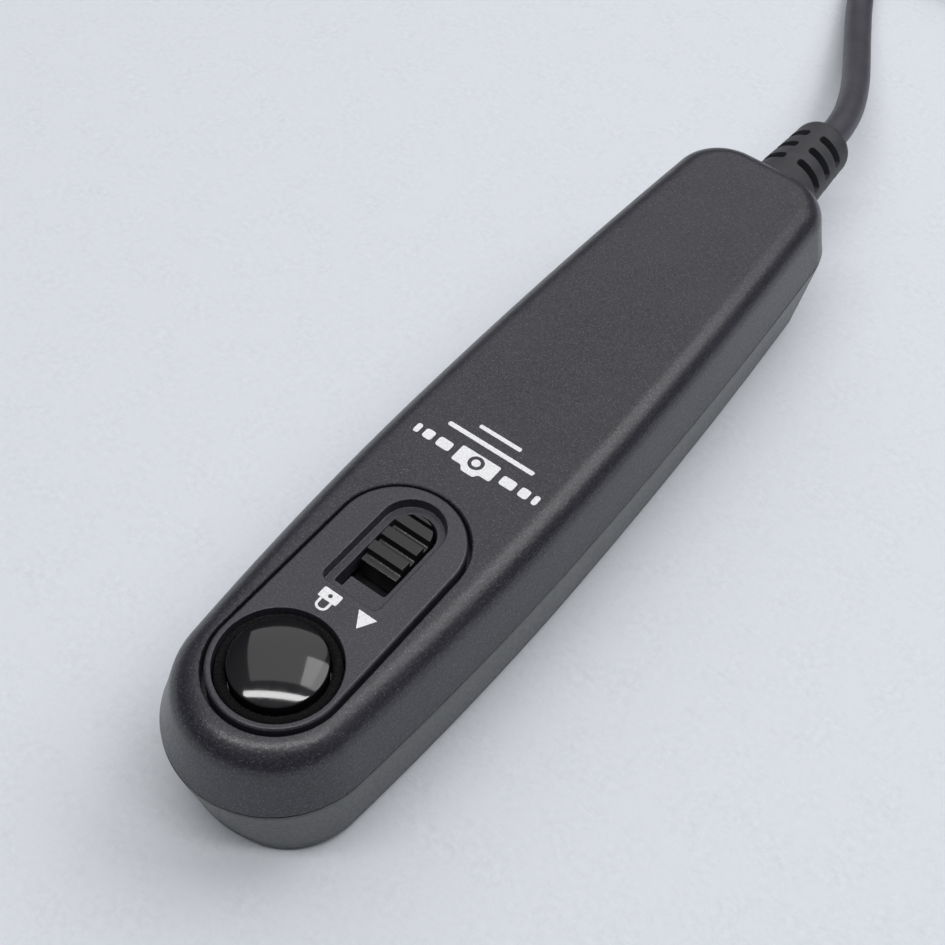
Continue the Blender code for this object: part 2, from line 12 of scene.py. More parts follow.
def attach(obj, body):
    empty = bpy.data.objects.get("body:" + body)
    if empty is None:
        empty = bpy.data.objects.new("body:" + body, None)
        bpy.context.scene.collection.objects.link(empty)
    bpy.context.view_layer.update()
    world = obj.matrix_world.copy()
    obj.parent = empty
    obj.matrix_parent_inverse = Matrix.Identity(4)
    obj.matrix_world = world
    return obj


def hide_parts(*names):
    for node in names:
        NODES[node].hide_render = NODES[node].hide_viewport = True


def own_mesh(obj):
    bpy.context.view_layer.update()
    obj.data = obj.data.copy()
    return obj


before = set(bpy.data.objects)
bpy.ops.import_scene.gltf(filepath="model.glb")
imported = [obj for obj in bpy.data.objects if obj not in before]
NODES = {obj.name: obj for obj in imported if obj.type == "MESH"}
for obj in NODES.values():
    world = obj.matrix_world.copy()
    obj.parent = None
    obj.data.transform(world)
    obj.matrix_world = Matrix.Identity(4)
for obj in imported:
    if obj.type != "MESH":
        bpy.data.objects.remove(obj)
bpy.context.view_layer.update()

MM = 0.001

# ---- the case, in mm, as the CAD has it (y from the button axis) ----
CASE_TOP, PARTING, WALL = 16.6, 10.04, 1.5
HALF_WIDTH, WIDEST_AT = 10.99, 30.3
HEAD_CURVE, TAIL_CURVE = 0.00145, 0.00068
HEAD_TANGENT, CASE_END, CORNER = -1.4, 81.6, 6.9
EDGE_RADIUS, WALL_DRAFT, FLAT_INSET = 2.915, math.radians(14.2), 3.927
BOOT_END, HEAD_FRONT = 95.8, -10.09
BUTTON_Y = -(HEAD_FRONT + BOOT_END) / 2
PANEL_TOP = 16.85
PANEL_R, PANEL_OPENING_R, PANEL_RUN = 5.86, 6.2, 15.4
HOLE_R, CAP_R = 5.3, 4.1
RECESS_HALF, RECESS_NEAR, RECESS_FAR, RECESS_FLOOR = 2.97, 8.6, 20.15, 15.75
SLOT_HALF, SLOT_NEAR, SLOT_FAR = 2.2, 10.7, 19.35
KNOB_HALF, KNOB_LENGTH = 1.9, 6.35
CABLE_R, CABLE_Z = 1.75, 8.65
HANK_X, HANK_NEAR, HANK_RUN, HANK_OUTER, HANK_INNER, HANK_Z = -4.0, 121.75, 42.0, 15.0, 11.5, 0.8
PLUG_W, PLUG_T = 10.8, 6.4
GAP = 0.3


# ================================================================================================
# camera
# ================================================================================================
def make_camera():
    az, el, roll = math.radians(32.082), math.radians(52.034), math.radians(5.763)
    back = Vector((math.sin(az) * math.cos(el), -math.cos(az) * math.cos(el), math.sin(el)))
    level = Vector((math.cos(az), math.sin(az), 0))
    rise = back.cross(level)
    right = math.cos(roll) * level + math.sin(roll) * rise
    up = -math.sin(roll) * level + math.cos(roll) * rise
    data = bpy.data.cameras.new("camera")
    data.sensor_fit = "HORIZONTAL"
    data.sensor_width = 36.0
    data.lens = 57.12
    data.clip_start, data.clip_end = 0.005, 20.0
    cam = bpy.data.objects.new("camera", data)
    bpy.context.scene.collection.objects.link(cam)
    turn = Matrix((right, up, back)).transposed().to_4x4()
    target = Vector((0.364, -17.505, 16.6)) * MM
    cam.matrix_world = Matrix.Translation(target + back * 131.93 * MM) @ turn
    bpy.context.scene.camera = cam
    return cam


make_camera()


# ================================================================================================
# mesh helpers (all points in mm)
# ================================================================================================
class Shape:
    """Collects points and faces, ring by ring, and makes one mesh object of them."""

    def __init__(self):
        self.points, self.faces = [], []

    def ring(self, pts):
        start = len(self.points)
        self.points += [tuple(float(c) for c in p) for p in pts]
        return list(range(start, start + len(pts)))

    def bridge(self, a, b, closed=True):
        n = len(a)
        for i in range(n if closed else n - 1):
            j = (i + 1) % n
            self.faces.append((a[i], a[j], b[j], b[i]))

    def stack(self, rings, closed=True):
        made = [self.ring(r) for r in rings]
        for a, b in zip(made, made[1:]):
            self.bridge(a, b, closed)
        return made

    def fan(self, ring, tip):
        start = len(self.points)
        self.points.append(tuple(float(c) for c in tip))
        n = len(ring)
        for i in range(n):
            self.faces.append((ring[i], ring[(i + 1) % n], start))

    def cap(self, ring):
        self.faces.append(tuple(ring))

    def fill(self, *loops):
        """Fills a flat region between an outer loop and the loops inside it."""
        flat = [i for loop in loops for i in loop]
        tri = geometry.tessellate_polygon([[Vector(self.points[i]) for i in loop] for loop in loops])
        self.faces += [tuple(flat[i] for i in t) for t in tri]

    def make(self, name, sharp=40.0, parent=None):
        mesh = bpy.data.meshes.new(name)
        mesh.from_pydata([Vector(p) * MM for p in self.points], [], self.faces)
        bm = bmesh.new()
        bm.from_mesh(mesh)
        bmesh.ops.recalc_face_normals(bm, faces=bm.faces)
        bm.to_mesh(mesh)
        bm.free()
        mesh.update()
        obj = bpy.data.objects.new(name, mesh)
        bpy.context.scene.collection.objects.link(obj)
        smooth(obj, sharp)
        return obj


def smooth(obj, sharp=40.0):
    obj.data.shade_smooth()
    obj.data.set_sharp_from_angle(angle=math.radians(sharp))


def cut(obj, cutter, operation="DIFFERENCE", solver="MANIFOLD", sharp=40.0):
    """Applies a Boolean and removes the cutter."""
    modifier = obj.modifiers.new("cut", "BOOLEAN")
    modifier.operation, modifier.solver, modifier.object = operation, solver, cutter
    graph = bpy.context.evaluated_depsgraph_get()
    made = bpy.data.meshes.new_from_object(obj.evaluated_get(graph), depsgraph=graph)
    obj.modifiers.clear()
    old = obj.data
    obj.data = made
    made.name = obj.name
    bpy.data.meshes.remove(old)
    bpy.data.objects.remove(cutter, do_unlink=True)
    smooth(obj, sharp)
    return obj


def arc(a, b, n):
    return np.linspace(a, b, n)


def circle(r, z, at=(0.0, 0.0), n=96):
    return [(at[0] + r * math.cos(2 * math.pi * k / n), at[1] + r * math.sin(2 * math.pi * k / n), z) for k in range(n)]


def turned(name, profile, at=(0.0, 0.0), n=96, axis="Z", sharp=40.0):
    """A turned solid from (radius, height) pairs: open profiles start and end on the axis, closed ones never touch it."""
    shape = Shape()
    place = (
        (lambda r, h: [(at[0] + r * math.cos(t), at[1] + r * math.sin(t), h) for t in turn])
        if axis == "Z"
        else (lambda r, h: [(at[0] + r * math.cos(t), h, at[1] + r * math.sin(t)) for t in turn])
    )
    turn = [2 * math.pi * k / n for k in range(n)]
    tip = lambda h: (at[0], at[1], h) if axis == "Z" else (at[0], h, at[1])
    on_axis = profile[0][0] == 0
    body = profile[1:-1] if on_axis else profile
    rings = [shape.ring(place(r, h)) for r, h in body]
    for a, b in zip(rings, rings[1:]):
        shape.bridge(a, b)
    if on_axis:
        shape.fan(rings[0], tip(profile[0][1]))
        shape.fan(rings[-1], tip(profile[-1][1]))
    else:
        shape.bridge(rings[-1], rings[0])
    return shape.make(name, sharp)


def rounded_profile(points, radius, steps=5):
    """A polyline of (r, h) with its inner corners rounded."""
    out = [points[0]]
    for p, q, s in zip(points, points[1:], points[2:]):
        p, q, s = map(np.array, (p, q, s))
        u, v = p - q, s - q
        lu, lv = np.linalg.norm(u), np.linalg.norm(v)
        c = float(u @ v) / (lu * lv)
        if abs(c) > 0.999:
            out.append(tuple(q))
            continue
        half = math.acos(max(-1, min(1, c))) / 2
        back = min(radius / math.tan(half), lu * 0.45, lv * 0.45)
        a, b = q + u / lu * back, q + v / lv * back
        for t in np.linspace(0, 1, steps):
            out.append(tuple((1 - t) ** 2 * a + 2 * t * (1 - t) * q + t * t * b))
    out.append(points[-1])
    return out


def stadium(r, run, z, near=0.0, n=40):
    low = [(r * math.cos(t), near + r * math.sin(t), z) for t in arc(-math.pi, 0, n + 1)]
    high = [(r * math.cos(t), near + run + r * math.sin(t), z) for t in arc(0, math.pi, n + 1)]
    return [(x, y + BUTTON_Y, zz) for x, y, zz in low + high]


def arch(half, near, far, corner, z, n=28, m=6):
    """Square with rounded corners at the near end, round at the far end."""
    pts = []
    for cx, start in ((-half + corner, math.pi), (half - corner, 1.5 * math.pi)):
        pts += [(cx + corner * math.cos(start + a), near + corner + corner * math.sin(start + a)) for a in arc(0, math.pi / 2, m)]
    pts += [(half * math.cos(t), far - half + half * math.sin(t)) for t in arc(0, math.pi, n + 1)]
    return [(x, y + BUTTON_Y, z) for x, y in pts]


def fillet(outline, r, top, steps=5, out=1):
    """Rings of a rounded edge: outline(d, z) from the wall at top - r up to the flat, offset d inward by r."""
    return [outline(out * r * (1 - math.cos(t)), top - r * (1 - math.sin(t))) for t in arc(0, math.pi / 2, steps)]


# ================================================================================================
# case
# ================================================================================================
def half_width(y):
    return HALF_WIDTH - (HEAD_CURVE if y < WIDEST_AT else TAIL_CURVE) * (y - WIDEST_AT) ** 2


def case_outline():
    slope = 2 * HEAD_CURVE * (WIDEST_AT - HEAD_TANGENT)
    centre = HEAD_TANGENT + half_width(HEAD_TANGENT) * slope
    radius = half_width(HEAD_TANGENT) * math.hypot(1, slope)
    meet = math.atan2(HEAD_TANGENT - centre, half_width(HEAD_TANGENT))
    side = [(radius * math.cos(t), centre + radius * math.sin(t)) for t in arc(-math.pi / 2, meet, 49)]
    side += [(half_width(y), y) for y in arc(HEAD_TANGENT, CASE_END - CORNER, 60)[1:]]
    wide = half_width(CASE_END - CORNER)
    side += [
        (wide - CORNER + CORNER * math.cos(t), CASE_END - CORNER + CORNER * math.sin(t))
        for t in arc(0, math.pi / 2, 29)[1:]
    ]
    side += [(wide - CORNER - (wide - CORNER) * k / 4, CASE_END) for k in (1, 2, 3)]
    side[0] = (0.0, side[0][1])
    return side + [(0.0, CASE_END)] + [(-x, y) for x, y in side[:0:-1]]


OUTLINE = np.array(case_outline())
STEP = np.roll(OUTLINE, -1, 0) - np.roll(OUTLINE, 1, 0)
NORMAL = np.stack([STEP[:, 1], -STEP[:, 0]], 1) / np.hypot(STEP[:, 0], STEP[:, 1])[:, None]
for _ in range(2):  # the normals turn evenly where the outline changes curvature
    NORMAL = (np.roll(NORMAL, 1, 0) + 2 * NORMAL + np.roll(NORMAL, -1, 0)) / 4
    NORMAL /= np.hypot(NORMAL[:, 0], NORMAL[:, 1])[:, None]


def case_ring(inset, z, head=0.0):
    more = inset + head * np.clip(-NORMAL[:, 1], 0, 1) ** 2
    pts = OUTLINE - NORMAL * more[:, None]
    return [(float(x), float(y) + BUTTON_Y, z) for x, y in pts]


def draft_at(z):
    return (z - PARTING) * math.tan(WALL_DRAFT)


SEAM = 0.14  # half of the parting line's visible width


def make_upper():
    shape = Shape()
    rings = [case_ring(0.75, PARTING + SEAM), case_ring(0.10, PARTING + SEAM), case_ring(0.03, PARTING + SEAM + 0.03), case_ring(0.02, PARTING + SEAM + 0.10)]
    for z in (10.9, 12.0, 13.2):
        rings.append(case_ring(draft_at(z), z))
    for t in arc(WALL_DRAFT, math.pi / 2, 19):
        rings.append(case_ring(FLAT_INSET - EDGE_RADIUS * math.cos(t), CASE_TOP - EDGE_RADIUS * (1 - math.sin(t))))
    rings.append(case_ring(FLAT_INSET + 0.15, CASE_TOP))
    made = shape.stack(rings)
    shape.fill(made[-1])
    inner = [
        case_ring(4.05, CASE_TOP - WALL),
        case_ring(3.0, 14.5),
        case_ring(draft_at(13.5) + WALL, 13.5),
        case_ring(draft_at(11.3) + WALL, 11.3),
        case_ring(draft_at(11.3) + 0.75, 11.3),
    ]
    low = shape.stack(inner)
    shape.fill(low[0])
    shape.bridge(low[-1], made[0])
    obj = shape.make("upper_shell_skin", sharp=42)
    cut(obj, panel_opening(), sharp=42)
    for y in (27.0, 57.0):
        at = (0, y + BUTTON_Y)
        cut(obj, turned("boss", [(0, 9.0), (2.4, 9.0), (2.4, CASE_TOP - 0.7), (0, CASE_TOP - 0.7)], at, 32), "UNION")
        cut(obj, turned("pilot", [(0, 8.0), (1.1, 8.0), (1.1, 14.0), (0, 14.0)], at, 20))
    cut(obj, boot_cutter(), sharp=18)
    return obj


def panel_opening():
    """The panel's opening with an eased edge. It runs a little way into the head's rounded edge, so it is cut, not drawn."""
    shape = Shape()
    edge = 0.13
    rows = [stadium(PANEL_OPENING_R, PANEL_RUN, 12.5), stadium(PANEL_OPENING_R, PANEL_RUN, CASE_TOP - edge - 0.03)]
    rows += [
        stadium(PANEL_OPENING_R + edge * (1 - math.cos(t)), PANEL_RUN, CASE_TOP - 0.03 - edge * (1 - math.sin(t)))
        for t in arc(0.25, math.radians(62), 5)
    ]
    last = edge * (1 - math.cos(math.radians(62)))
    rows.append(stadium(PANEL_OPENING_R + last + 0.2, PANEL_RUN, CASE_TOP - 0.03 - edge * (1 - math.sin(math.radians(62))) + 0.16))
    made = shape.stack(rows)
    shape.fill(made[0])
    shape.fill(made[-1])
    return shape.make("opening")


def boot_cutter():
    return turned(
        "boot_hole",
        [(0, 76 + BUTTON_Y), (4.32, 76 + BUTTON_Y), (4.32, 80.6 + BUTTON_Y), (4.12, 80.9 + BUTTON_Y), (4.12, 86 + BUTTON_Y), (0, 86 + BUTTON_Y)],
        (0, CABLE_Z),
        64,
        axis="Y",
    )


LOWER = np.array([(0, 9.89, 0), (0.37, 6.5, 0.37), (0.8, 2.8, 0.8), (1.0, 1.3, 1.05), (1.4, 0.45, 1.15), (2.2, 0, 1.15)])


def make_lower():
    shape = Shape()
    rings = []
    zs = [9.5, 8.6, 7.5, 6.5, 5.2, 4.0, 2.8, 2.1, 1.6]
    for z in zs:
        inset = np.interp(z, LOWER[::-1, 1], LOWER[::-1, 0])
        head = np.interp(z, LOWER[::-1, 1], LOWER[::-1, 2])
        rings.append(case_ring(inset, z, head))
    for t in arc(0, math.pi / 2, 11)[1:]:  # the rounded foot
        rings.append(case_ring(0.96 + 1.24 * (1 - math.cos(t)), 1.35 * (1 - math.sin(t)), 1.0 + 0.15 * math.sin(t)))
    rings.append(case_ring(2.5, 0.0, 1.15))
    made = shape.stack(rings)
    top = shape.stack([case_ring(0.02, PARTING - SEAM - 0.10), case_ring(0.03, PARTING - SEAM - 0.03), case_ring(0.10, PARTING - SEAM), case_ring(0.95, PARTING - SEAM)])
    shape.bridge(made[0], top[0])
    inner = shape.stack(
        [
            case_ring(1.0, 9.95),
            case_ring(1.35, 11.0),
            case_ring(1.95, 11.0),
            case_ring(WALL, 9.0),
            case_ring(0.37 + WALL, 6.5, 0.37),
            case_ring(0.8 + WALL, 2.8, 0.8),
            case_ring(1.6 + WALL, 1.5, 1.0),
        ]
    )
    shape.bridge(top[-1], inner[0])
    shape.fill(made[-1])
    shape.fill(inner[-1])
    obj = shape.make("lower_shell_skin", sharp=42)
    for y in (27.0, 57.0):
        at = (0, y + BUTTON_Y)
        cut(obj, turned("post", [(0, 0.6), (3.1, 0.6), (3.1, 8.7), (0, 8.7)], at, 32), "UNION")
        cut(
            obj,
            turned("bore", [(0, -1), (2.75, -1), (2.55, 0.0), (2.35, 0.14), (2.3, 0.3), (2.3, 3.0), (1.3, 3.0), (1.3, 9.5), (0, 9.5)], at, 48),
        )
    for x in (-4.4, 4.4):
        at = (x, 33.0 + BUTTON_Y)
        cut(obj, turned("post", [(0, 0.9), (1.7, 0.9), (1.7, 4.7), (0, 4.7)], at, 24), "UNION")
        cut(obj, turned("pilot", [(0, 2.2), (0.9, 2.2), (0.9, 5.5), (0, 5.5)], at, 16))
    cut(obj, boot_cutter(), sharp=42)
    return obj


# ================================================================================================
# control panel: one sheet with a rounded rim, the button hole, the lock's recess and its stepped slot
# ================================================================================================
def slot_outline(d, z, m=4):
    """The stepped slot, drawn in by d: its left strip reaches 1.2 mm nearer than the rest."""
    pts = [(-SLOT_HALF + d, 9.5 + d), (-SLOT_HALF + 0.85 - d, 9.5 + d), (-SLOT_HALF + 0.85 - d, SLOT_NEAR + d), (SLOT_HALF - d, SLOT_NEAR + d)]
    rounded = []
    for k, (p, r) in enumerate(zip(pts, (0.22, 0.12, 0.10, 0.3))):
        before = np.array(pts[k - 1] if k else (-SLOT_HALF + d, 16.0))
        after = np.array(pts[k + 1] if k < 3 else (SLOT_HALF - d, 16.0))
        q = np.array(p)
        a = q + (before - q) / np.linalg.norm(before - q) * r
        b = q + (after - q) / np.linalg.norm(after - q) * r
        rounded += [tuple((1 - t) ** 2 * a + 2 * t * (1 - t) * q + t * t * b) for t in np.linspace(0, 1, m)]
    half = SLOT_HALF - d
    rounded += [(half * math.cos(t), SLOT_FAR - SLOT_HALF + half * math.sin(t)) for t in arc(0, math.pi, 25)]
    return [(x, y + BUTTON_Y, z) for x, y in rounded]


def make_panel():
    shape = Shape()
    edge = 0.26
    rim = [stadium(6.35, PANEL_RUN, 13.9), stadium(6.35, PANEL_RUN, 14.5), stadium(PANEL_R, PANEL_RUN, 14.5)]
    rim += [stadium(PANEL_R - edge * (1 - math.cos(t)), PANEL_RUN, PANEL_TOP - edge * (1 - math.sin(t))) for t in arc(0, math.pi / 2, 8)]
    rim.append(stadium(PANEL_R - edge - 0.04, PANEL_RUN, PANEL_TOP))
    outer = shape.stack(rim)
    at = (0, BUTTON_Y)
    lip = 0.10
    hole = [circle(HOLE_R + lip + 0.02, PANEL_TOP, at)]
    hole += [circle(HOLE_R + lip * (1 - math.cos(t)), PANEL_TOP - lip * (1 - math.sin(t)), at) for t in arc(math.pi / 2, 0, 5)]
    hole.append(circle(HOLE_R, 13.9, at))
    bore = shape.stack(hole)
    lip = 0.15
    recess = [arch(RECESS_HALF + lip + 0.05, RECESS_NEAR - lip - 0.05, RECESS_FAR + lip + 0.05, 0.75, PANEL_TOP)]
    recess += [
        arch(RECESS_HALF + lip * (1 - math.cos(t)), RECESS_NEAR - lip * (1 - math.cos(t)), RECESS_FAR + lip * (1 - math.cos(t)), 0.7, PANEL_TOP - lip * (1 - math.sin(t)))
        for t in arc(math.pi / 2, 0, 6)
    ]
    foot = 0.12
    recess += [
        arch(RECESS_HALF - foot * (1 - math.cos(t)), RECESS_NEAR + foot * (1 - math.cos(t)), RECESS_FAR - foot * (1 - math.cos(t)), 0.7, RECESS_FLOOR + foot * (1 - math.sin(t)))
        for t in arc(0, math.pi / 2, 5)
    ]
    pocket = shape.stack(recess)
    shape.fill(outer[-1], bore[0], pocket[0])
    lip = 0.07
    slot = [slot_outline(-lip - 0.02, RECESS_FLOOR)]
    slot += [slot_outline(-lip * (1 - math.cos(t)), RECESS_FLOOR - lip * (1 - math.sin(t))) for t in arc(math.pi / 2, 0, 4)]
    slot.append(slot_outline(0, 13.9))
    through = shape.stack(slot)
    shape.fill(pocket[-1], through[0])
    shape.fill(outer[0], bore[-1], through[-1])
    return shape.make("control_panel_skin", sharp=38)


# ================================================================================================
# button, its felt ring and the lock's knob
# ================================================================================================
def make_button():
    at = (0, BUTTON_Y)
    rim_z, apex = PANEL_TOP + 0.25, 18.12
    edge = 0.14
    reach = CAP_R - edge
    sphere = (reach**2 + (apex - rim_z - edge) ** 2) / (2 * (apex - rim_z - edge))
    tilt = math.asin(reach / sphere)
    profile = [(0, 11.1), (1.45, 11.1), (1.6, 11.25), (1.6, 15.4), (3.3, 15.4), (3.3, 13.6), (4.8, 13.6), (4.8, 14.7), (CAP_R, 14.7)]
    profile += [(CAP_R, z) for z in (15.6, 16.4)]
    # the rounded edge runs smoothly into the crown
    for t in arc(0, math.pi / 2 - tilt, 12):
        profile.append((reach + edge * math.cos(t), rim_z + edge * math.sin(t)))
    start = profile[-1]
    crown = sphere + 0.0
    for t in arc(tilt, 0, 36)[1:-1]:
        r = crown * math.sin(t) * start[0] / (crown * math.sin(tilt))
        z = apex - (apex - start[1]) * (1 - math.cos(t)) / (1 - math.cos(tilt))
        profile.append((r, z))
    profile.append((0, apex))
    return turned("shutter_button_skin", profile, at, 160, sharp=50)


def make_felt():
    """A ring of short pile: a soft ring raised by noise, with a fringe of separate fibres standing in it."""
    at = (0.0, BUTTON_Y)
    rng = np.random.default_rng(7)
    shape = Shape()
    n, m = 360, 14
    rows = []
    for j in range(m):
        u = 2 * math.pi * j / m
        ring = []
        for k in range(n):
            t = 2 * math.pi * k / n
            r, z = 4.71 + 0.47 * math.cos(u), 15.85 + 0.62 * math.sin(u)
            p = Vector((r * math.cos(t), r * math.sin(t), z))
            puff = noise.noise(p * 4.5) * 0.07 + noise.noise(p * 11.0) * 0.06
            r += puff * math.cos(u) * 0.4
            z += puff * (1.6 if math.sin(u) > 0 else 0)
            ring.append((at[0] + r * math.cos(t), at[1] + r * math.sin(t), z))
        rows.append(shape.ring(ring))
    for a, b in zip(rows, rows[1:] + rows[:1]):
        shape.bridge(a, b)
    body = shape.make("button_seal_felt", sharp=80)
    pile = Shape()
    for _ in range(2600):
        t, r = rng.uniform(0, 2 * math.pi), rng.uniform(4.30, 5.14)
        up = 16.05 + 0.38 * math.sqrt(max(0.0, 1 - ((r - 4.71) / 0.5) ** 2))
        root = np.array([r * math.cos(t), r * math.sin(t), up - 0.15])
        lean = np.array([rng.normal(0, 0.55), rng.normal(0, 0.55), 1.0])
        lean /= np.linalg.norm(lean)
        long = rng.uniform(0.18, 0.42)
        tip = root + lean * long
        rt = math.hypot(tip[0], tip[1])
        keep = min(max(rt, 4.16), 5.24) / rt
        tip[:2] *= keep
        side = np.cross(lean, [math.cos(t), math.sin(t), 0.2])
        side = side / np.linalg.norm(side) * 0.018
        other = np.cross(lean, side)
        base = pile.ring([root + side + at3(at), root - side * 0.5 + other * 0.9 + at3(at), root - side * 0.5 - other * 0.9 + at3(at)])
        pile.fan(base, tip + at3(at))
        pile.faces.append(tuple(reversed(base)))
    fibres = pile.make("button_seal_pile", sharp=80)
    return body, fibres


def at3(at):
    return np.array([at[0], at[1], 0.0])


KNOB_FAR = SLOT_FAR - 0.4
KNOB_NEAR = KNOB_FAR - KNOB_LENGTH
KNOB_LOW, KNOB_TOP = 15.62, 16.38  # the floor between its ribs and their tops
RIBS = [(13.42, 14.50), (15.30, 16.38), (17.18, 18.26)]


def make_knob():
    """The knob: a block with an arched far end, three flat ribs across it and a crescent at its far end."""
    step = 0.02
    ys = sorted(
        {round(y, 4) for y in np.arange(KNOB_NEAR, KNOB_FAR + 1e-6, 0.18)}
        | {round(a + d, 4) for a, b in RIBS for a, d in ((a, 0), (a, 0.03), (a, 0.07), (a, -0.04), (a, -0.10), (a, -0.18), (a, -0.28), (b, 0), (b, -0.03), (b, -0.07), (b, 0.03), (b, 0.08))}
        | {round(KNOB_NEAR + d, 4) for d in (0.02, 0.05, 0.09)}
        | {round(18.62 + d, 4) for d in (-0.28, -0.16, -0.08, -0.03, 0, 0.03, 0.08)}
    )
    ys = [y for y in ys if KNOB_NEAR <= y <= KNOB_FAR - 0.02]

    def height(y):
        z = KNOB_LOW
        for a, b in RIBS:
            if a <= y <= b:
                lip = 0.06
                z = KNOB_TOP
                if y - a < lip:
                    z -= lip - math.sqrt(max(0, lip**2 - (lip - (y - a)) ** 2))
                if b - y < lip:
                    z -= lip - math.sqrt(max(0, lip**2 - (lip - (b - y)) ** 2))
            elif a - 0.28 <= y < a:  # the hollow at the foot of the rib
                s = (y - (a - 0.28)) / 0.28
                z = max(z, KNOB_LOW + 0.26 * (1 - math.sqrt(max(0.0, 1 - s * s))))
        if y >= 18.62:
            z = KNOB_TOP - 0.04
        elif y >= 18.34:
            s = (y - 18.34) / 0.28
            z = max(z, KNOB_LOW + 0.26 * (1 - math.sqrt(max(0.0, 1 - s * s))))
        if y - KNOB_NEAR < 0.09:
            z -= 0.09 - math.sqrt(max(0, 0.09**2 - (0.09 - (y - KNOB_NEAR)) ** 2))
        return z

    def half(y):
        far = y - (KNOB_FAR - KNOB_HALF)
        return KNOB_HALF if far <= 0 else math.sqrt(max(KNOB_HALF**2 - far**2, 1e-4))

    shape = Shape()
    rows = []
    for y in ys:
        h, w = height(y), half(y)
        e = min(0.07, w * 0.3)
        section = [(-w, 13.3), (-w, 14.6), (-w, h - e)]
        section += [(-w + e * (1 - math.cos(t)), h - e * (1 - math.sin(t))) for t in arc(0, math.pi / 2, 5)[1:]]
        section += [(x, h) for x in arc(-w + e, w - e, 7)[1:-1]]
        section += [(w - e * (1 - math.cos(t)), h - e * (1 - math.sin(t))) for t in arc(math.pi / 2, 0, 5)[:-1]]
        section += [(w, h - e), (w, 14.6), (w, 13.3)]
        rows.append(shape.ring([(x, y + BUTTON_Y, z) for x, z in section]))
    for a, b in zip(rows, rows[1:]):
        shape.bridge(a, b)
    shape.fill(rows[0])
    shape.fill(rows[-1])
    return shape.make("lock_knob_skin", sharp=38)


# ================================================================================================
# strain relief: a tapered boot whose slots leave four ribs around the cable
# ================================================================================================
def make_boot():
    y0 = BUTTON_Y
    profile = [
        (0, 75.6), (3.2, 75.6), (3.4, 76.6), (4.9, 76.6), (4.9, 78.3), (4.03, 78.3), (4.03, 80.0), (4.03, 82.2),
        (4.0, 83.4), (3.92, 85.0), (3.83, 87.0), (3.72, 89.0), (3.61, 91.0), (3.52, 92.8), (3.46, 93.8),
    ]
    profile += [(2.5 + 0.96 * math.cos(t), 94.3 + 1.3 * math.sin(t)) for t in arc(0, math.pi / 2, 9)]
    profile += [(1.9, 95.62), (0, 95.62)]
    boot = turned("strain_relief_boot_skin", [(r, h + y0) for r, h in profile], (0, CABLE_Z), 120, axis="Y")
    ribs, spread, core = -4.0, 33.5, 2.12
    for station in (86.45, 89.25, 92.0):
        for k in range(4):
            middle = ribs + 45.0 + 90.0 * k
            shape = Shape()
            half_y, corner = 0.60, 0.42
            outline = []
            for cx, cy, start in ((1, 1, 0), (-1, 1, 90), (-1, -1, 180), (1, -1, 270)):
                for a in arc(0, 90, 6):
                    t = math.radians(start + a)
                    outline.append(
                        (cx * (spread - math.degrees(corner / 3.7)) + math.degrees(corner / 3.7) * math.cos(t), cy * (half_y - corner) + corner * math.sin(t))
                    )
            # more points along the long sides, so that the slot follows the boot's round
            dense = []
            for p, q in zip(outline, outline[1:] + outline[:1]):
                steps = max(1, int(abs(q[0] - p[0]) / 4))
                dense += [(p[0] + (q[0] - p[0]) * s / steps, p[1] + (q[1] - p[1]) * s / steps) for s in range(steps)]
            rings = []
            for r in (core, core + 0.15, 3.0, 5.5):
                ring = []
                for a, y in dense:
                    t = math.radians(middle + a)
                    grow = 0.0
                    ring.append((r * math.sin(t), station + y * (1 + grow) + y0, CABLE_Z + r * math.cos(t)))
                rings.append(ring)
            made = shape.stack(rings)
            # both ends are curved, so they are closed with a strip of quads
            for ring in (made[0], made[-1]):
                n = len(ring)
                for i in range(n // 2 - 1):
                    a, b, c, d = ring[i], ring[i + 1], ring[n - 2 - i], ring[n - 1 - i]
                    shape.faces.append((a, b, c, d) if b != c else (a, b, d))
            cutter = shape.make("slot")
            cut(boot, cutter, sharp=35)
    return boot


# ================================================================================================
# the cable: its free run, the hank and the tail to the plug, on one line
# ================================================================================================
LEAD = [
    (0.0, BOOT_END + BUTTON_Y + GAP, CABLE_Z),
    (0.0, 56.5, 8.5),
    (-0.9, 61.0, 7.8),
    (-3.0, 67.5, 6.3),
    (-6.6, 76.0, 4.4),
    (-10.4, 84.5, 2.9),
    (-14.1, 93.0, 2.05),
    (-17.3, 103.0, 1.9),
    (-18.8, 112.0, 2.3),
    (-19.0, HANK_NEAR - GAP, HANK_Z + CABLE_R),
]


def spline_points(knots, step):
    """Points at an even step along a natural cubic spline through the knots."""
    k = np.array(knots, float)
    t = np.concatenate([[0], np.cumsum(np.linalg.norm(np.diff(k, axis=0), axis=1))])
    h = np.diff(t)
    n = len(k)
    a, b = np.zeros((n, n)), np.zeros((n, 3))
    a[0, 0] = a[-1, -1] = 1
    for i in range(1, n - 1):
        a[i, i - 1], a[i, i], a[i, i + 1] = h[i - 1], 2 * (h[i - 1] + h[i]), h[i]
        b[i] = 6 * ((k[i + 1] - k[i]) / h[i] - (k[i] - k[i - 1]) / h[i - 1])
    m = np.linalg.solve(a, b)

    def at(s):
        i = min(max(int(np.searchsorted(t, s)) - 1, 0), n - 2)
        u, v = s - t[i], t[i + 1] - s
        return (m[i] * v**3 + m[i + 1] * u**3) / (6 * h[i]) + (k[i] / h[i] - m[i] * h[i] / 6) * v + (k[i + 1] / h[i] - m[i + 1] * h[i] / 6) * u

    return even(np.array([at(s) for s in np.linspace(0, t[-1], 600)]), step)


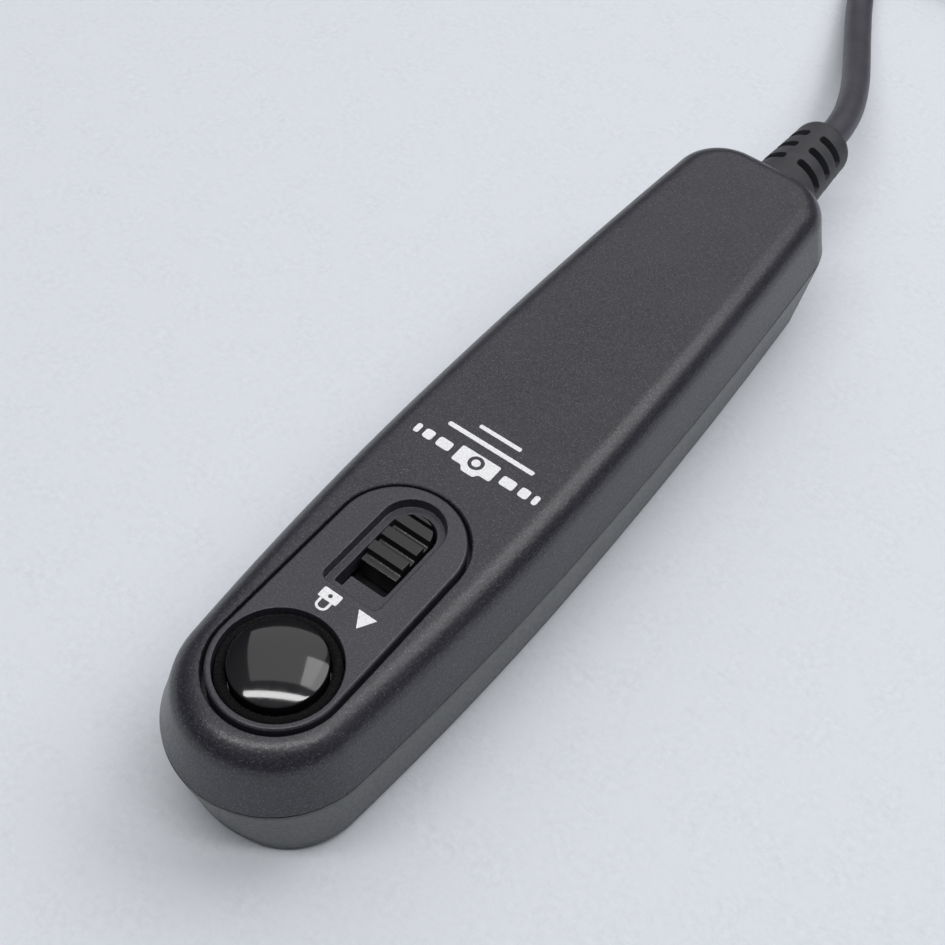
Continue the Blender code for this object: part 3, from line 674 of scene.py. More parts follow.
def even(line, step):
    run = np.concatenate([[0], np.cumsum(np.linalg.norm(np.diff(line, axis=0), axis=1))])
    count = max(2, int(round(run[-1] / step)) + 1)
    return np.stack([np.interp(np.linspace(0, run[-1], count), run, line[:, c]) for c in range(3)], 1)


def ease(t):
    t = min(1.0, max(0.0, t))
    return t * t * (3 - 2 * t)


TAIL_RUN, TAIL_FROM = 20.0, 8.0


def tail_point(t):
    e = t * t * (3 - 2 * t)
    return (HANK_X - TAIL_FROM * (1 - e), HANK_NEAR + TAIL_RUN * t, HANK_Z + CABLE_R + (PLUG_T / 2 - HANK_Z - CABLE_R) * e)


def hank_line():
    """Three whole turns and a last near fold, going up the left run, round the far end and down the right run. In each near fold the
    strands change places round the bundle's middle, so they stay a diameter apart."""
    mid_r, mid_z, ring = (HANK_OUTER + HANK_INNER) / 2, HANK_Z + 2 * CABLE_R, CABLE_R * math.sqrt(2)
    seat = lambda deg: (mid_r + ring * math.cos(math.radians(deg)), mid_z + ring * math.sin(math.radians(deg)))
    far = HANK_NEAR + HANK_RUN
    pts = []
    for turn in range(4):
        start = -45.0 + 90.0 * turn
        r, z = seat(start)
        pts += [(HANK_X - r, y, z) for y in np.arange(HANK_NEAR, far, 2.0)]
        pts += [(HANK_X - r * math.cos(t), far + r * math.sin(t), z) for t in arc(0, math.pi, 24)]
        pts += [(HANK_X + r, y, z) for y in np.arange(far - 2.0, HANK_NEAR + 1.0, -2.0)]
        for t in arc(0, math.pi, 30):
            s = t / math.pi
            if turn < 3:
                r, z = seat(start + 90.0 * ease((s - 0.18) / 0.57))
                pts.append((HANK_X + r * math.cos(t), HANK_NEAR - r * math.sin(t), z))
            else:
                # the last fold is drawn in as one rounder bend that ends on the tail's line
                wide = (HANK_INNER + TAIL_FROM) / 2
                middle = HANK_X + HANK_INNER - wide
                deep = 9.2
                pts.append((middle + wide * math.cos(t), HANK_NEAR - deep * math.sin(t), z))
    pts += [tail_point(t) for t in np.linspace(0.04, 1, 26)]
    return pts


def cable_line():
    lead = spline_points(LEAD, 1.2)
    rest = np.array(hank_line())
    line = np.concatenate([lead, rest])
    keep = [0]
    for i in range(1, len(line)):
        if np.linalg.norm(line[i] - line[keep[-1]]) > 0.35:
            keep.append(i)
    line = even(line[keep], 1.2)
    # a light smoothing takes out the small corners where the pieces of the line join; the ends stay
    for _ in range(12):
        line[1:-1] = line[1:-1] * 0.5 + (line[:-2] + line[2:]) * 0.25
    return line


def tube(name, line, radius, sides=24, ripple=0.0, ends=True):
    """A mesh tube along a line of points in mm, its rings kept from twisting, its ends closed."""
    line = np.array(line, float)
    tangent = np.gradient(line, axis=0)
    tangent /= np.linalg.norm(tangent, axis=1)[:, None]
    side = np.cross(tangent[0], [0, 0, 1.0])
    side /= np.linalg.norm(side)
    shape = Shape()
    rings = []
    for i, (p, t) in enumerate(zip(line, tangent)):
        side = side - t * (side @ t)
        side /= np.linalg.norm(side)
        other = np.cross(t, side)
        r = radius * (1 + ripple * noise.noise(Vector(p) * 0.12))
        rings.append([p + r * (math.cos(2 * math.pi * k / sides) * side + math.sin(2 * math.pi * k / sides) * other) for k in range(sides)])
    made = shape.stack(rings)
    if ends:
        shape.fan(made[0], line[0])
        shape.fan(made[-1], line[-1])
    return shape.make(name, sharp=60)


# ================================================================================================
# plug, tie and screws
# ================================================================================================
def rounded_rect(w, t, r, n=8):
    pts = []
    for cx, cz, start in ((w / 2 - r, t / 2 - r, 0), (-w / 2 + r, t / 2 - r, 90), (-w / 2 + r, -t / 2 + r, 180), (w / 2 - r, -t / 2 + r, 270)):
        pts += [(cx + r * math.cos(math.radians(start + a)), cz + r * math.sin(math.radians(start + a))) for a in arc(0, 90, n)]
    return pts


def across(w, t, r, y, n=8, dz=0.0):
    return [(HANK_X + x, y, PLUG_T / 2 + dz + z) for x, z in rounded_rect(w, t, r, n)]


PY = HANK_NEAR + TAIL_RUN + GAP
PB = PY + 7.7 + GAP
PS = PB + 14.2 + GAP


def make_plug():
    """The grip tapers to the cable, with four finger grooves on each broad face and an arrow-free plain back."""
    shape = Shape()
    rows = []
    for y, w, t, r in ((0, 7.2, 5.0, 1.5), (0.12, 7.5, 5.3, 1.6), (0.4, 7.9, 5.55, 1.6), (1.2, 9.4, 6.0, 1.65), (2.0, 10.3, 6.25, 1.7), (3.0, PLUG_W, PLUG_T, 1.7)):
        rows.append(across(w, t, r, PB + y))
    y = 3.6
    while y < 13.0:
        for dy, deep in ((0.0, 0.0), (0.12, 0.06), (0.3, 0.30), (0.5, 0.36), (0.7, 0.30), (0.88, 0.06), (1.0, 0.0)):
            if 4.4 <= y <= 10.6:
                rows.append([(x, yy, z if abs(z - PLUG_T / 2) < 2.0 else z - math.copysign(deep * max(0.0, 1 - (abs(x - HANK_X) / 4.3) ** 6), z - PLUG_T / 2)) for x, yy, z in across(PLUG_W, PLUG_T, 1.7, PB + y + dy)])
            else:
                rows.append(across(PLUG_W, PLUG_T, 1.7, PB + y + dy))
        y += 1.6
    rows += [across(PLUG_W - 0.1, PLUG_T - 0.1, 1.65, PB + 13.85), across(PLUG_W - 0.35, PLUG_T - 0.35, 1.5, PB + 14.08), across(PLUG_W - 0.8, PLUG_T - 0.8, 1.3, PB + 14.2)]
    rows = sorted(rows, key=lambda r: r[0][1])
    made = shape.stack(rows)
    shape.fill(made[0])
    shape.fill(made[-1])
    return shape.make("plug_body_skin", sharp=50)


def make_plug_relief():
    profile = [(0, PY), (1.9, PY), (2.25, PY + 0.1), (2.4, PY + 0.5)]
    y = 1.0
    while y < 6.6:
        r = 2.45 + 0.5 * y / 7.7
        profile += [(r, PY + y), (r, PY + y + 0.55), (r - 0.42, PY + y + 0.68), (r - 0.42, PY + y + 1.05), (r + 0.04, PY + y + 1.18)]
        y += 1.4
    profile += [(2.92, PY + 7.2), (2.9, PY + 7.7), (0, PY + 7.7)]
    return turned("plug_relief_skin", profile, (HANK_X, PLUG_T / 2), 64, axis="Y", sharp=35)


def make_plug_shell():
    shape = Shape()
    rows = [
        across(8.3, 2.8, 0.8, PS), across(8.3, 2.8, 0.8, PS + 5.05), across(8.22, 2.72, 0.76, PS + 5.16), across(8.1, 2.6, 0.7, PS + 5.2),
        across(7.84, 2.34, 0.57, PS + 5.2), across(7.72, 2.22, 0.52, PS + 5.14), across(7.7, 2.2, 0.5, PS + 5.0), across(7.7, 2.2, 0.5, PS),
    ]
    made = shape.stack(rows)
    shape.bridge(made[-1], made[0])
    return shape.make("plug_shell_skin", sharp=40)


def make_tie():
    """A woven strip wrapped round one run of the hank, its free end lying over the start."""
    x0, x1 = HANK_X + HANK_INNER - CABLE_R - GAP, HANK_X + HANK_OUTER + CABLE_R + GAP
    z0, z1 = 0.35, HANK_Z + 4 * CABLE_R + GAP
    cx, cz = (x0 + x1) / 2, (z0 + z1) / 2
    w, t = x1 - x0, z1 - z0
    ys = HANK_NEAR + 18.5
    base = [(cx + x, cz + z) for x, z in rounded_rect(w + 0.1, t + 0.1, 1.9, 10)]
    # starts on the top and laps over itself there
    n = len(base)
    start = max(range(n), key=lambda i: (base[i][1] > cz + t / 2 - 0.05, -abs(base[i][0] - cx - 2.0)))
    path = [base[(start + i) % n] for i in range(n)]
    dense = []
    for p, q in zip(path, path[1:] + path[:1]):
        steps = max(1, int(math.hypot(q[0] - p[0], q[1] - p[1]) / 0.35))
        dense += [(p[0] + (q[0] - p[0]) * s / steps, p[1] + (q[1] - p[1]) * s / steps) for s in range(steps)]
    lap = int(len(dense) * 0.16)
    thick = 0.55
    loop = dense + dense[:lap]
    pts = []
    for i, (x, z) in enumerate(loop):
        over = max(0.0, (i - len(dense) + 4) / 4.0)
        lift = (thick + 0.06) * min(1.0, over) if i >= len(dense) - 4 else 0.0
        pts.append((x, z, lift))
    shape = Shape()
    rings = []
    for i, (x, z, lift) in enumerate(pts):
        a, b = pts[max(0, i - 1)], pts[min(len(pts) - 1, i + 1)]
        d = np.array([b[0] - a[0], b[1] - a[1]])
        d /= np.linalg.norm(d)
        nrm = np.array([d[1], -d[0]])
        if nrm @ np.array([x - cx, z - cz]) < 0:
            nrm = -nrm
        inner = np.array([x, z]) + nrm * lift
        outer = inner + nrm * thick
        if inner[1] < 0.08:
            inner[1] = 0.08
        if outer[1] < 0.02:
            outer[1] = 0.02
        wave = 0.05 * math.sin(i * 0.9)
        row = []
        for s in arc(0, 5.0, 9):
            row.append((outer[0], ys + s + wave * (s in (0.0, 5.0)), outer[1]))
        for s in arc(5.0, 0, 9):
            row.append((inner[0], ys + s + wave * (s in (0.0, 5.0)), inner[1]))
        rings.append(row)
    made = shape.stack(rings)
    shape.fill(made[0])
    shape.fill(made[-1])
    return shape.make("hank_tie_strip", sharp=50)


def make_screw(name, at, head_r, seat, head_h, shank_r, end, up=True):
    s = 1 if up else -1
    face = seat - s * head_h
    profile = [(0, face - s * 0.0)]
    profile += [(head_r * 0.55, face)]
    profile += [(head_r - 0.55 + 0.55 * math.sin(t), face + s * 0.55 * (1 - math.cos(t))) for t in arc(0.15, math.pi / 2, 8)]
    profile += [(head_r, seat - s * 0.12), (head_r - 0.1, seat), (shank_r, seat)]
    pitch = 0.5
    h = seat + s * 0.35
    while s * (end - s * 0.8 - h) > 0:
        profile += [(shank_r - 0.12, h), (shank_r, h + s * pitch * 0.35), (shank_r, h + s * pitch * 0.5), (shank_r - 0.12, h + s * pitch * 0.85)]
        h += s * pitch
    profile += [(shank_r - 0.1, end - s * 0.6), (shank_r * 0.4, end), (0, end)]
    obj = turned(name, profile, at, 48, sharp=35)
    lo, hi = sorted((face - s * 0.5, face + s * min(0.75, head_h * 0.62)))
    for a, b in ((0.60, 0.13), (0.13, 0.60)):
        block = Shape()
        block_rows = [
            [(at[0] - head_r * a * k, at[1] - head_r * b * k2, z), (at[0] + head_r * a * k, at[1] - head_r * b * k2, z), (at[0] + head_r * a * k, at[1] + head_r * b * k2, z), (at[0] - head_r * a * k, at[1] + head_r * b * k2, z)]
            for z, k, k2 in ((face - s * 0.5, 1.0, 1.0), (face, 1.0, 1.0), (face + s * min(0.75, head_h * 0.62), 0.62, 0.8))
        ]
        made = block.stack(block_rows)
        block.cap(made[0])
        block.cap(made[-1])
        cut(obj, block.make("cross"), solver="EXACT", sharp=35)
    return obj


# ================================================================================================
# printed marks: thin layers of white ink, drawn as outlines in mm and set just proud of their surface
# ================================================================================================
def rounded(points, r, n=5):
    """A closed outline with its corners rounded."""
    out = []
    m = len(points)
    for k in range(m):
        p, q, s = (np.array(points[(k + d) % m], float) for d in (-1, 0, 1))
        a = q + (p - q) / np.linalg.norm(p - q) * min(r, np.linalg.norm(p - q) * 0.45)
        b = q + (s - q) / np.linalg.norm(s - q) * min(r, np.linalg.norm(s - q) * 0.45)
        out += [tuple((1 - t) ** 2 * a + 2 * t * (1 - t) * q + t * t * b) for t in np.linspace(0, 1, n)]
    return out


def ellipse(cx, cy, rx, ry, n=40):
    return [(cx + rx * math.cos(2 * math.pi * k / n), cy + ry * math.sin(2 * math.pi * k / n)) for k in range(n)]


def ink(name, groups, top, thick=0.045, proud=0.016):
    """groups holds lists of outlines, the first of each being the outer one; y is measured from the button axis."""
    shape = Shape()
    for outlines in groups:
        high = [shape.ring([(x, y + BUTTON_Y, top + proud) for x, y in o]) for o in outlines]
        low = [shape.ring([(x, y + BUTTON_Y, top + proud - thick) for x, y in o]) for o in outlines]
        shape.fill(*high)
        shape.fill(*low)
        for a, b in zip(high, low):
            shape.bridge(a, b)
    return shape.make(name, sharp=30)


def make_marks():
    """The marks read from the button end, so up is -Y and right is -X."""
    arrow = [rounded([(1.72, 7.98), (3.62, 7.98), (2.70, 6.38)], 0.06, 3)]
    # a padlock: a shackle over a body with a keyhole
    cx, low, high = -0.9, 8.02, 6.95
    body = rounded([(cx - 0.95, high), (cx + 0.95, high), (cx + 0.95, low), (cx - 0.95, low)], 0.16)
    hole = ellipse(cx, (low + high) / 2, 0.2, 0.2, 20)
    shackle = [(cx + 0.62 * math.cos(t), high - 0.12 - 0.42 - 0.52 * math.sin(t)) for t in arc(0, math.pi, 16)]
    shackle = [(cx + 0.62, high + 0.02)] + shackle + [(cx - 0.62, high + 0.02), (cx - 0.38, high + 0.02)]
    shackle += [(cx + 0.38 * math.cos(t), high - 0.12 - 0.42 - 0.30 * math.sin(t)) for t in arc(math.pi, 0, 16)] + [(cx + 0.38, high + 0.02)]
    on_panel = ink("mark_lock", [arrow, [body, hole], [shackle]], PANEL_TOP)
    # a camera's outline in a broad band, over a thinner line and dots for the cord
    c, top, foot = 0.0, 24.95, 27.35
    y = lambda v: foot - v
    camera = rounded([(c - 2.1, y(0)), (c + 2.1, y(0)), (c + 2.1, y(1.95)), (c + 0.95, y(1.95)), (c + 0.65, y(2.45)), (c - 0.65, y(2.45)), (c - 0.95, y(1.95)), (c - 2.1, y(1.95))], 0.22)
    lens = ellipse(c, y(0.98), 0.78, 0.78)
    pupil = ellipse(c, y(0.98), 0.42, 0.42, 30)
    groups = [[camera, lens], [pupil]]
    for side in (-1, 1):
        for near, far in ((2.75, 4.25), (4.75, 5.75), (6.2, 6.75)):
            groups.append([rounded([(side * near, y(0.45)), (side * far, y(0.45)), (side * far, y(1.55)), (side * near, y(1.55))], 0.3)])
    groups.append([rounded([(-4.7, 28.35), (4.7, 28.35), (4.7, 28.85), (-4.7, 28.85)], 0.22)])
    groups.append([rounded([(-2.3, 29.85), (2.3, 29.85), (2.3, 30.3), (-2.3, 30.3)], 0.2)])
    on_case = ink("mark_camera", groups, CASE_TOP)
    return on_panel, on_case


def make_spring():
    """The button's return spring: a short coil of three and a half turns."""
    turns, steps = 3.5, 180
    line = [
        (2.5 * math.cos(2 * math.pi * turns * k / steps), BUTTON_Y + 2.5 * math.sin(2 * math.pi * turns * k / steps), 12.75 + 2.15 * k / steps)
        for k in range(steps + 1)
    ]
    return tube("return_spring_coil", line, 0.18, 12)


# ================================================================================================
# materials
# ================================================================================================
def srgb(r, g, b):
    return tuple((c / 255 / 12.92) if c / 255 <= 0.04045 else ((c / 255 + 0.055) / 1.055) ** 2.4 for c in (r, g, b)) + (1.0,)


class Finish:
    """A Principled material whose colour, roughness and relief come from procedural textures in object space."""

    def __init__(self, name, **constants):
        self.mat = bpy.data.materials.new(name)
        self.mat.use_nodes = True
        self.nodes, self.links = self.mat.node_tree.nodes, self.mat.node_tree.links
        self.bsdf = self.nodes["Principled BSDF"]
        for key, value in constants.items():
            self.bsdf.inputs[key.replace("_", " ")].default_value = value
        self.coord = self.nodes.new("ShaderNodeTexCoord").outputs["Object"]
        self.height = None

    def noise(self, scale, detail=2.0, roughness=0.5, stretch=None, distortion=0.0):
        node = self.nodes.new("ShaderNodeTexNoise")
        node.inputs["Scale"].default_value = scale
        node.inputs["Detail"].default_value = detail
        node.inputs["Roughness"].default_value = roughness
        node.inputs["Distortion"].default_value = distortion
        self.links.new(self.mapped(stretch), node.inputs["Vector"])
        return node.outputs["Fac"]

    def voronoi(self, scale, feature="F1", stretch=None):
        node = self.nodes.new("ShaderNodeTexVoronoi")
        node.feature = feature
        node.inputs["Scale"].default_value = scale
        self.links.new(self.mapped(stretch), node.inputs["Vector"])
        return node.outputs["Distance"]

    def wave(self, scale, stretch=None, kind="BANDS", direction="X", distortion=0.0):
        node = self.nodes.new("ShaderNodeTexWave")
        node.wave_type = kind
        node.bands_direction = direction
        node.inputs["Scale"].default_value = scale
        node.inputs["Distortion"].default_value = distortion
        self.links.new(self.mapped(stretch), node.inputs["Vector"])
        return node.outputs["Fac"]

    def mapped(self, stretch):
        if stretch is None:
            return self.coord
        node = self.nodes.new("ShaderNodeMapping")
        node.inputs["Scale"].default_value = stretch
        self.links.new(self.coord, node.inputs["Vector"])
        return node.outputs["Vector"]

    def ramp(self, fac, low, high, a=0.35, b=0.65):
        node = self.nodes.new("ShaderNodeValToRGB")
        node.color_ramp.elements[0].position, node.color_ramp.elements[1].position = a, b
        node.color_ramp.elements[0].color, node.color_ramp.elements[1].color = low, high
        self.links.new(fac, node.inputs["Fac"])
        return node.outputs["Color"]

    def span(self, fac, low, high, a=0.3, b=0.7):
        node = self.nodes.new("ShaderNodeMapRange")
        for key, value in (("From Min", a), ("From Max", b), ("To Min", low), ("To Max", high)):
            node.inputs[key].default_value = value
        self.links.new(fac, node.inputs["Value"])
        return node.outputs["Result"]

    def mix(self, fac, a, b):
        node = self.nodes.new("ShaderNodeMix")
        node.data_type = "RGBA"
        self.links.new(fac, node.inputs["Factor"])
        for value, key in ((a, "A"), (b, "B")):
            socket = [s for s in node.inputs if s.name == key and s.type == "RGBA"][0]
            if isinstance(value, tuple):
                socket.default_value = value
            else:
                self.links.new(value, socket)
        return [s for s in node.outputs if s.type == "RGBA"][0]

    def math(self, kind, a, b=None):
        node = self.nodes.new("ShaderNodeMath")
        node.operation = kind
        for value, socket in ((a, node.inputs[0]), (b, node.inputs[1])):
            if value is None:
                continue
            if isinstance(value, (int, float)):
                socket.default_value = value
            else:
                self.links.new(value, socket)
        return node.outputs[0]

    def colour(self, value):
        self.links.new(value, self.bsdf.inputs["Base Color"])
        return self

    def rough(self, value):
        self.links.new(value, self.bsdf.inputs["Roughness"])
        return self

    def relief(self, fac, depth, strength=1.0):
        node = self.nodes.new("ShaderNodeBump")
        node.inputs["Strength"].default_value = strength
        node.inputs["Distance"].default_value = depth
        self.links.new(fac, node.inputs["Height"])
        if self.height is not None:
            self.links.new(self.height, node.inputs["Normal"])
        self.height = node.outputs["Normal"]
        self.links.new(self.height, self.bsdf.inputs["Normal"])
        return self


def plastic(name, base, vary, rough, scale, depth, specks=0.0, painted_glints=None, **constants):
    """Moulded plastic with a spark-eroded grain; given a glint colour, it also gets sparse specks painted in that
    lighter colour, painted highlights standing in for the sparkle of light on the grain's facets.
    """
    f = Finish(name, **constants)
    grain = f.noise(scale, 2.0, 0.55)
    broad = f.noise(90.0, 3.0, 0.6)
    low, high = srgb(*[c - vary for c in base]), srgb(*[c + vary for c in base])
    tone = f.mix(f.span(grain, 0, 1), f.ramp(broad, low, srgb(*base)), high)
    if painted_glints:
        # painted highlights: sparse Voronoi specks take the lighter glint colour, standing in for glints of light on
        # the grain
        tone = f.mix(f.span(f.voronoi(scale * 0.9), 0.85, 0.0, 0.04, 0.24), tone, srgb(*painted_glints))
    f.colour(tone)
    f.rough(f.span(grain, rough + 0.05, rough - 0.05))
    f.relief(grain, depth)
    if specks:
        f.relief(f.span(f.voronoi(scale * 0.42), 1.0, 0.0, 0.0, 0.55), depth * specks)
    return f.mat


def metal(name, base, rough, scale, depth, stretch=None, vary=12):
    f = Finish(name, Metallic=1.0)
    n = f.noise(scale, 3.0, 0.6, stretch)
    f.colour(f.ramp(n, srgb(*[c - vary for c in base]), srgb(*base)))
    f.rough(f.span(n, rough - 0.06, rough + 0.08))
    f.relief(n, depth)
    return f.mat


M = {}


def make_materials():
    # the case and panel get painted glints: their last colours, (126, 124, 136) and (112, 110, 122), are lighter specks
    # painted in as sparkle highlights
    M["case"] = plastic("grained_black_plastic", (33, 32, 40), 22, 0.33, 4800.0, 0.0000080, 1.2, (126, 124, 136), Specular_IOR_Level=0.6)
    M["lower"] = plastic("satin_black_plastic", (30, 33, 37), 4, 0.36, 2600.0, 0.0000015)
    M["panel"] = plastic("matt_panel_plastic", (45, 44, 52), 18, 0.36, 5400.0, 0.0000060, 1.0, (112, 110, 122), Specular_IOR_Level=0.6)
    M["knob"] = plastic("satin_knob_plastic", (24, 24, 27), 4, 0.27, 4200.0, 0.0000030, 0.4, Specular_IOR_Level=0.6)
    M["plug"] = plastic("plug_plastic", (48, 48, 52), 5, 0.45, 3600.0, 0.000012, 0.4)
    M["inside"] = plastic("moulding_plastic", (70, 72, 74), 6, 0.5, 2000.0, 0.000008)

    f = Finish("gloss_button_plastic", Coat_Weight=0.35, Coat_Roughness=0.04, Specular_IOR_Level=0.62)
    n = f.noise(60.0, 3.0, 0.5)
    f.colour(f.ramp(n, srgb(15, 15, 17), srgb(22, 22, 25)))
    f.rough(f.span(f.noise(900.0, 4.0, 0.7), 0.06, 0.12))
    f.relief(f.noise(220.0, 2.0, 0.5), 0.000003)
    M["button"] = f.mat

    f = Finish("black_felt", Sheen_Weight=0.03, Sheen_Roughness=0.5, Specular_IOR_Level=0.25)
    n = f.noise(5200.0, 4.0, 0.7)
    f.colour(f.ramp(n, srgb(4, 4, 5), srgb(20, 20, 22), 0.45, 0.8))
    f.rough(f.span(n, 0.95, 0.8))
    f.relief(n, 0.00012)
    M["felt"] = f.mat

    f = Finish("boot_rubber", Specular_IOR_Level=0.42)
    n = f.noise(3800.0, 3.0, 0.6)
    f.colour(f.mix(f.span(f.noise(320.0, 3.0, 0.6), 0, 1), srgb(54, 54, 58), srgb(66, 66, 71)))
    f.rough(f.span(n, 0.62, 0.50))
    f.relief(n, 0.000014)
    M["boot"] = f.mat

    f = Finish("cable_jacket", Specular_IOR_Level=0.45)
    n = f.noise(2600.0, 3.0, 0.6)
    f.colour(f.mix(f.span(f.noise(260.0, 3.0, 0.55), 0, 1), srgb(62, 61, 68), srgb(73, 72, 80)))
    f.rough(f.span(n, 0.52, 0.40))
    f.relief(n, 0.000010)
    f.relief(f.noise(180.0, 2.0, 0.5), 0.00006)
    M["cable"] = f.mat

    M["latch"] = metal("dark_latch_steel", (52, 52, 54), 0.5, 900.0, 0.000006)
    M["screw"] = metal("zinc_screw", (176, 178, 180), 0.32, 900.0, 0.000006)
    M["spring"] = metal("spring_steel", (190, 190, 190), 0.28, 1200.0, 0.000003, (1, 1, 6))
    M["bronze"] = metal("contact_bronze", (205, 160, 98), 0.28, 700.0, 0.000004, (1, 5, 1))
    M["plating"] = metal("plug_plating", (205, 207, 210), 0.22, 800.0, 0.000003, (1, 6, 1), 8)

    f = Finish("board_laminate", Specular_IOR_Level=0.5)
    n = f.wave(900.0, None, "BANDS", "X", 1.5)
    f.colour(f.mix(f.span(f.noise(700.0, 2.0, 0.5), 0, 1), f.ramp(n, srgb(44, 92, 60), srgb(52, 104, 68)), srgb(40, 84, 56)))
    f.rough(f.span(n, 0.35, 0.5))
    f.relief(n, 0.000010)
    M["board"] = f.mat

    for key, base in (("red", (150, 40, 36)), ("white", (196, 196, 190)), ("blue", (42, 70, 128))):
        M["wire_" + key] = plastic("wire_" + key, base, 8, 0.4, 1800.0, 0.000004)

    f = Finish("tie_weave", Sheen_Weight=0.2, Specular_IOR_Level=0.3)
    n = f.wave(1150.0, None, "BANDS", "Y", 0.6)
    m = f.wave(1150.0, None, "BANDS", "X", 0.6)
    w = f.math("MULTIPLY", n, m)
    f.colour(f.ramp(w, srgb(30, 30, 33), srgb(58, 58, 62), 0.1, 0.8))
    f.rough(f.span(w, 0.9, 0.72))
    f.relief(w, 0.00010)
    M["tie"] = f.mat

    f = Finish("white_ink", Specular_IOR_Level=0.4)
    n = f.noise(5200.0, 3.0, 0.65)
    f.colour(f.ramp(n, srgb(222, 223, 226), srgb(246, 246, 248), 0.3, 0.55))
    f.rough(f.span(n, 0.6, 0.45))
    f.relief(n, 0.000006)
    M["ink"] = f.mat

    f = Finish("pale_backdrop", Specular_IOR_Level=0.25)
    fine = f.noise(1400.0, 4.0, 0.65)
    mottled = f.noise(240.0, 4.0, 0.6)
    f.colour(f.mix(f.span(mottled, 0.0, 1.0, 0.35, 0.65), f.ramp(fine, srgb(221, 225, 231), srgb(230, 234, 240)), srgb(227, 231, 237)))
    f.rough(f.span(fine, 0.85, 0.95))
    f.relief(fine, 0.00006)
    M["floor"] = f.mat


def dress(obj, key):
    obj.data.materials.clear()
    obj.data.materials.append(M[key])
    return obj


# ================================================================================================
# assembly
# ================================================================================================
make_materials()


def add(obj, key, body, slot_name, *nodes):
    dress(obj, key)
    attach(obj, body)
    if nodes:
        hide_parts(*nodes)
    return obj


add(make_upper(), "case", "case", "grained_case", "upper_shell")
add(make_lower(), "lower", "case", "satin_case", "lower_shell")
add(make_panel(), "panel", "case", "panel", "control_panel")
add(make_button(), "button", "shutter_button", "button", "shutter_button")
felt, pile = make_felt()
add(felt, "felt", "case", "button_felt", "button_seal")
add(pile, "felt", "case", "button_felt")
add(make_knob(), "knob", "lock_slider", "knob", "lock_slider")
add(make_boot(), "boot", "case", "boot_rubber", "strain_relief_boot")
coil = add(make_spring(), "spring", "case", "spring_steel", "button_return_spring")
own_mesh(coil)
for piece in make_marks():
    add(piece, "ink", "case", "panel" if piece.name == "mark_lock" else "grained_case")

route = cable_line()
cable = add(tube("cable_run", route, CABLE_R, 26, 0.006), "cable", "case", "cable_jacket", "cable_lead", "cable_hank", "cable_tail")
plug = [
    add(make_plug_relief(), "boot", "case", "boot_rubber", "plug_strain_relief"),
    add(make_plug(), "plug", "case", "satin_case", "plug_body"),
    add(make_plug_shell(), "plating", "case", "plug_plating", "plug_shell"),
    add(make_tie(), "tie", "case", "tie_fabric", "hank_tie"),
]
NODE_LOOKS = {
    "plug_contact_tongue": ("inside", "satin_case"),
    "case_screw_front": ("screw", "screw_steel"),
    "case_screw_rear": ("screw", "screw_steel"),
    "board_screw_left": ("screw", "screw_steel"),
    "board_screw_right": ("screw", "screw_steel"),
    "lock_detent_spring": ("spring", "spring_steel"),
    "lock_latch_plate": ("latch", "spring_steel"),
    "contact_leaf_common": ("bronze", "contact_bronze"),
    "contact_leaf_half_press": ("bronze", "contact_bronze"),
    "contact_leaf_full_press": ("bronze", "contact_bronze"),
    "circuit_board": ("board", "board"),
    "button_guide": ("inside", "moulding"),
    "contact_block": ("inside", "moulding"),
    "cord_clamp": ("inside", "moulding"),
    "wire_common": ("wire_red", "wire_red"),
    "wire_half_press": ("wire_white", "wire_white"),
    "wire_full_press": ("wire_blue", "wire_blue"),
    "inner_cable": ("cable", "cable_jacket"),
}
for name, (key, slot_name) in NODE_LOOKS.items():
    node = NODES[name]
    dress(node, key)


# ================================================================================================
# floor and light
# ================================================================================================
def make_floor():
    shape = Shape()
    n, half = 24, 900.0
    rows = [shape.ring([(x, y, -0.06) for x in np.linspace(-half, half, n)]) for y in np.linspace(-half, half, n)]
    for a, b in zip(rows, rows[1:]):
        shape.bridge(a, b, closed=False)
    obj = shape.make("backdrop")
    for p in obj.data.polygons:
        if p.normal.z < 0:
            obj.data.flip_normals()
            break
    return dress(obj, "floor")


make_floor()


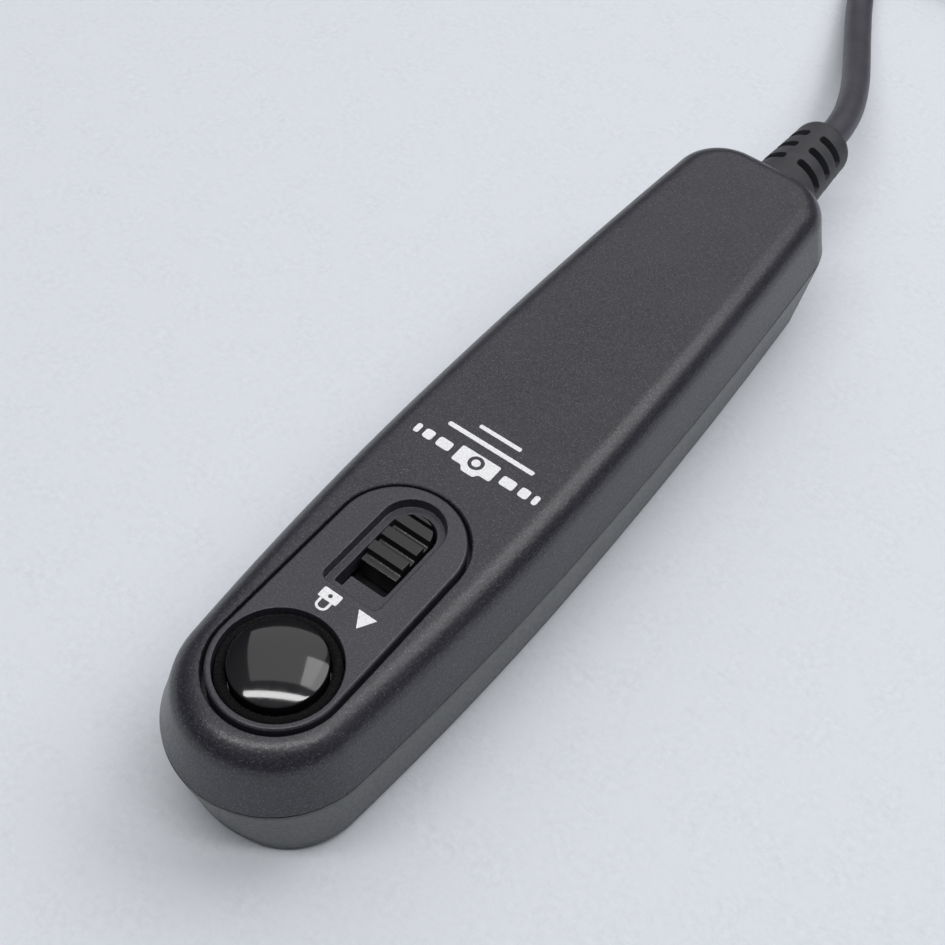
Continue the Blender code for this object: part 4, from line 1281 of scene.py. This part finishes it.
def softbox(name, where, at, size, watts, colour=(1, 1, 1), along=(1, 0, 0)):
    """A rectangular lamp at `where`, facing `at`, its long side lying along `along`."""
    data = bpy.data.lights.new(name, "AREA")
    data.shape = "RECTANGLE"
    data.size, data.size_y = size
    data.energy = watts
    data.color = colour
    obj = bpy.data.objects.new(name, data)
    bpy.context.scene.collection.objects.link(obj)
    place = Vector(where)
    back = (place - Vector(at)).normalized()
    side = Vector(along)
    side = (side - back * side.dot(back)).normalized()
    obj.matrix_world = Matrix.Translation(place) @ Matrix((side, back.cross(side), back)).transposed().to_4x4()
    return obj


# a wide ceiling lamp over the cable end, a smaller one low on the right, and a long narrow one on the viewer's side
softbox("ceiling_softbox", (-0.28, 0.42, 0.74), (0.0, 0.0, 0.01), (1.15, 1.15), 3.1, (1.0, 0.99, 0.98), (0.847, 0.531, 0))
softbox("edge_softbox", (0.24, 0.36, 0.56), (0.0, 0.0, 0.01), (0.42, 0.42), 1.3, (0.99, 0.99, 1.0), (0.847, 0.531, 0))
softbox("long_strip", (0.06, -0.17, 0.78), (0.0, -0.03, 0.01), (1.0, 0.09), 3.0, (1.0, 1.0, 1.0), (0.847, 0.531, 0))

world = bpy.data.worlds.new("studio")
bpy.context.scene.world = world
world.use_nodes = True
sky, wires = world.node_tree.nodes, world.node_tree.links
background = sky["Background"]
background.inputs["Strength"].default_value = 0.25
coord = sky.new("ShaderNodeTexCoord")
parts = sky.new("ShaderNodeSeparateXYZ")
ramp = sky.new("ShaderNodeValToRGB")
stops = ramp.color_ramp.elements
stops[0].position, stops[0].color = 0.05, (0.05, 0.052, 0.056, 1)
stops[1].position, stops[1].color = 0.95, (0.95, 0.97, 1.0, 1)
middle = stops.new(0.45)
middle.color = (0.36, 0.37, 0.39, 1)
wires.new(coord.outputs["Generated"], parts.inputs[0])
wires.new(parts.outputs["Z"], ramp.inputs["Fac"])
wires.new(ramp.outputs["Color"], background.inputs["Color"])
bpy.context.scene.view_settings.view_transform = "Standard"
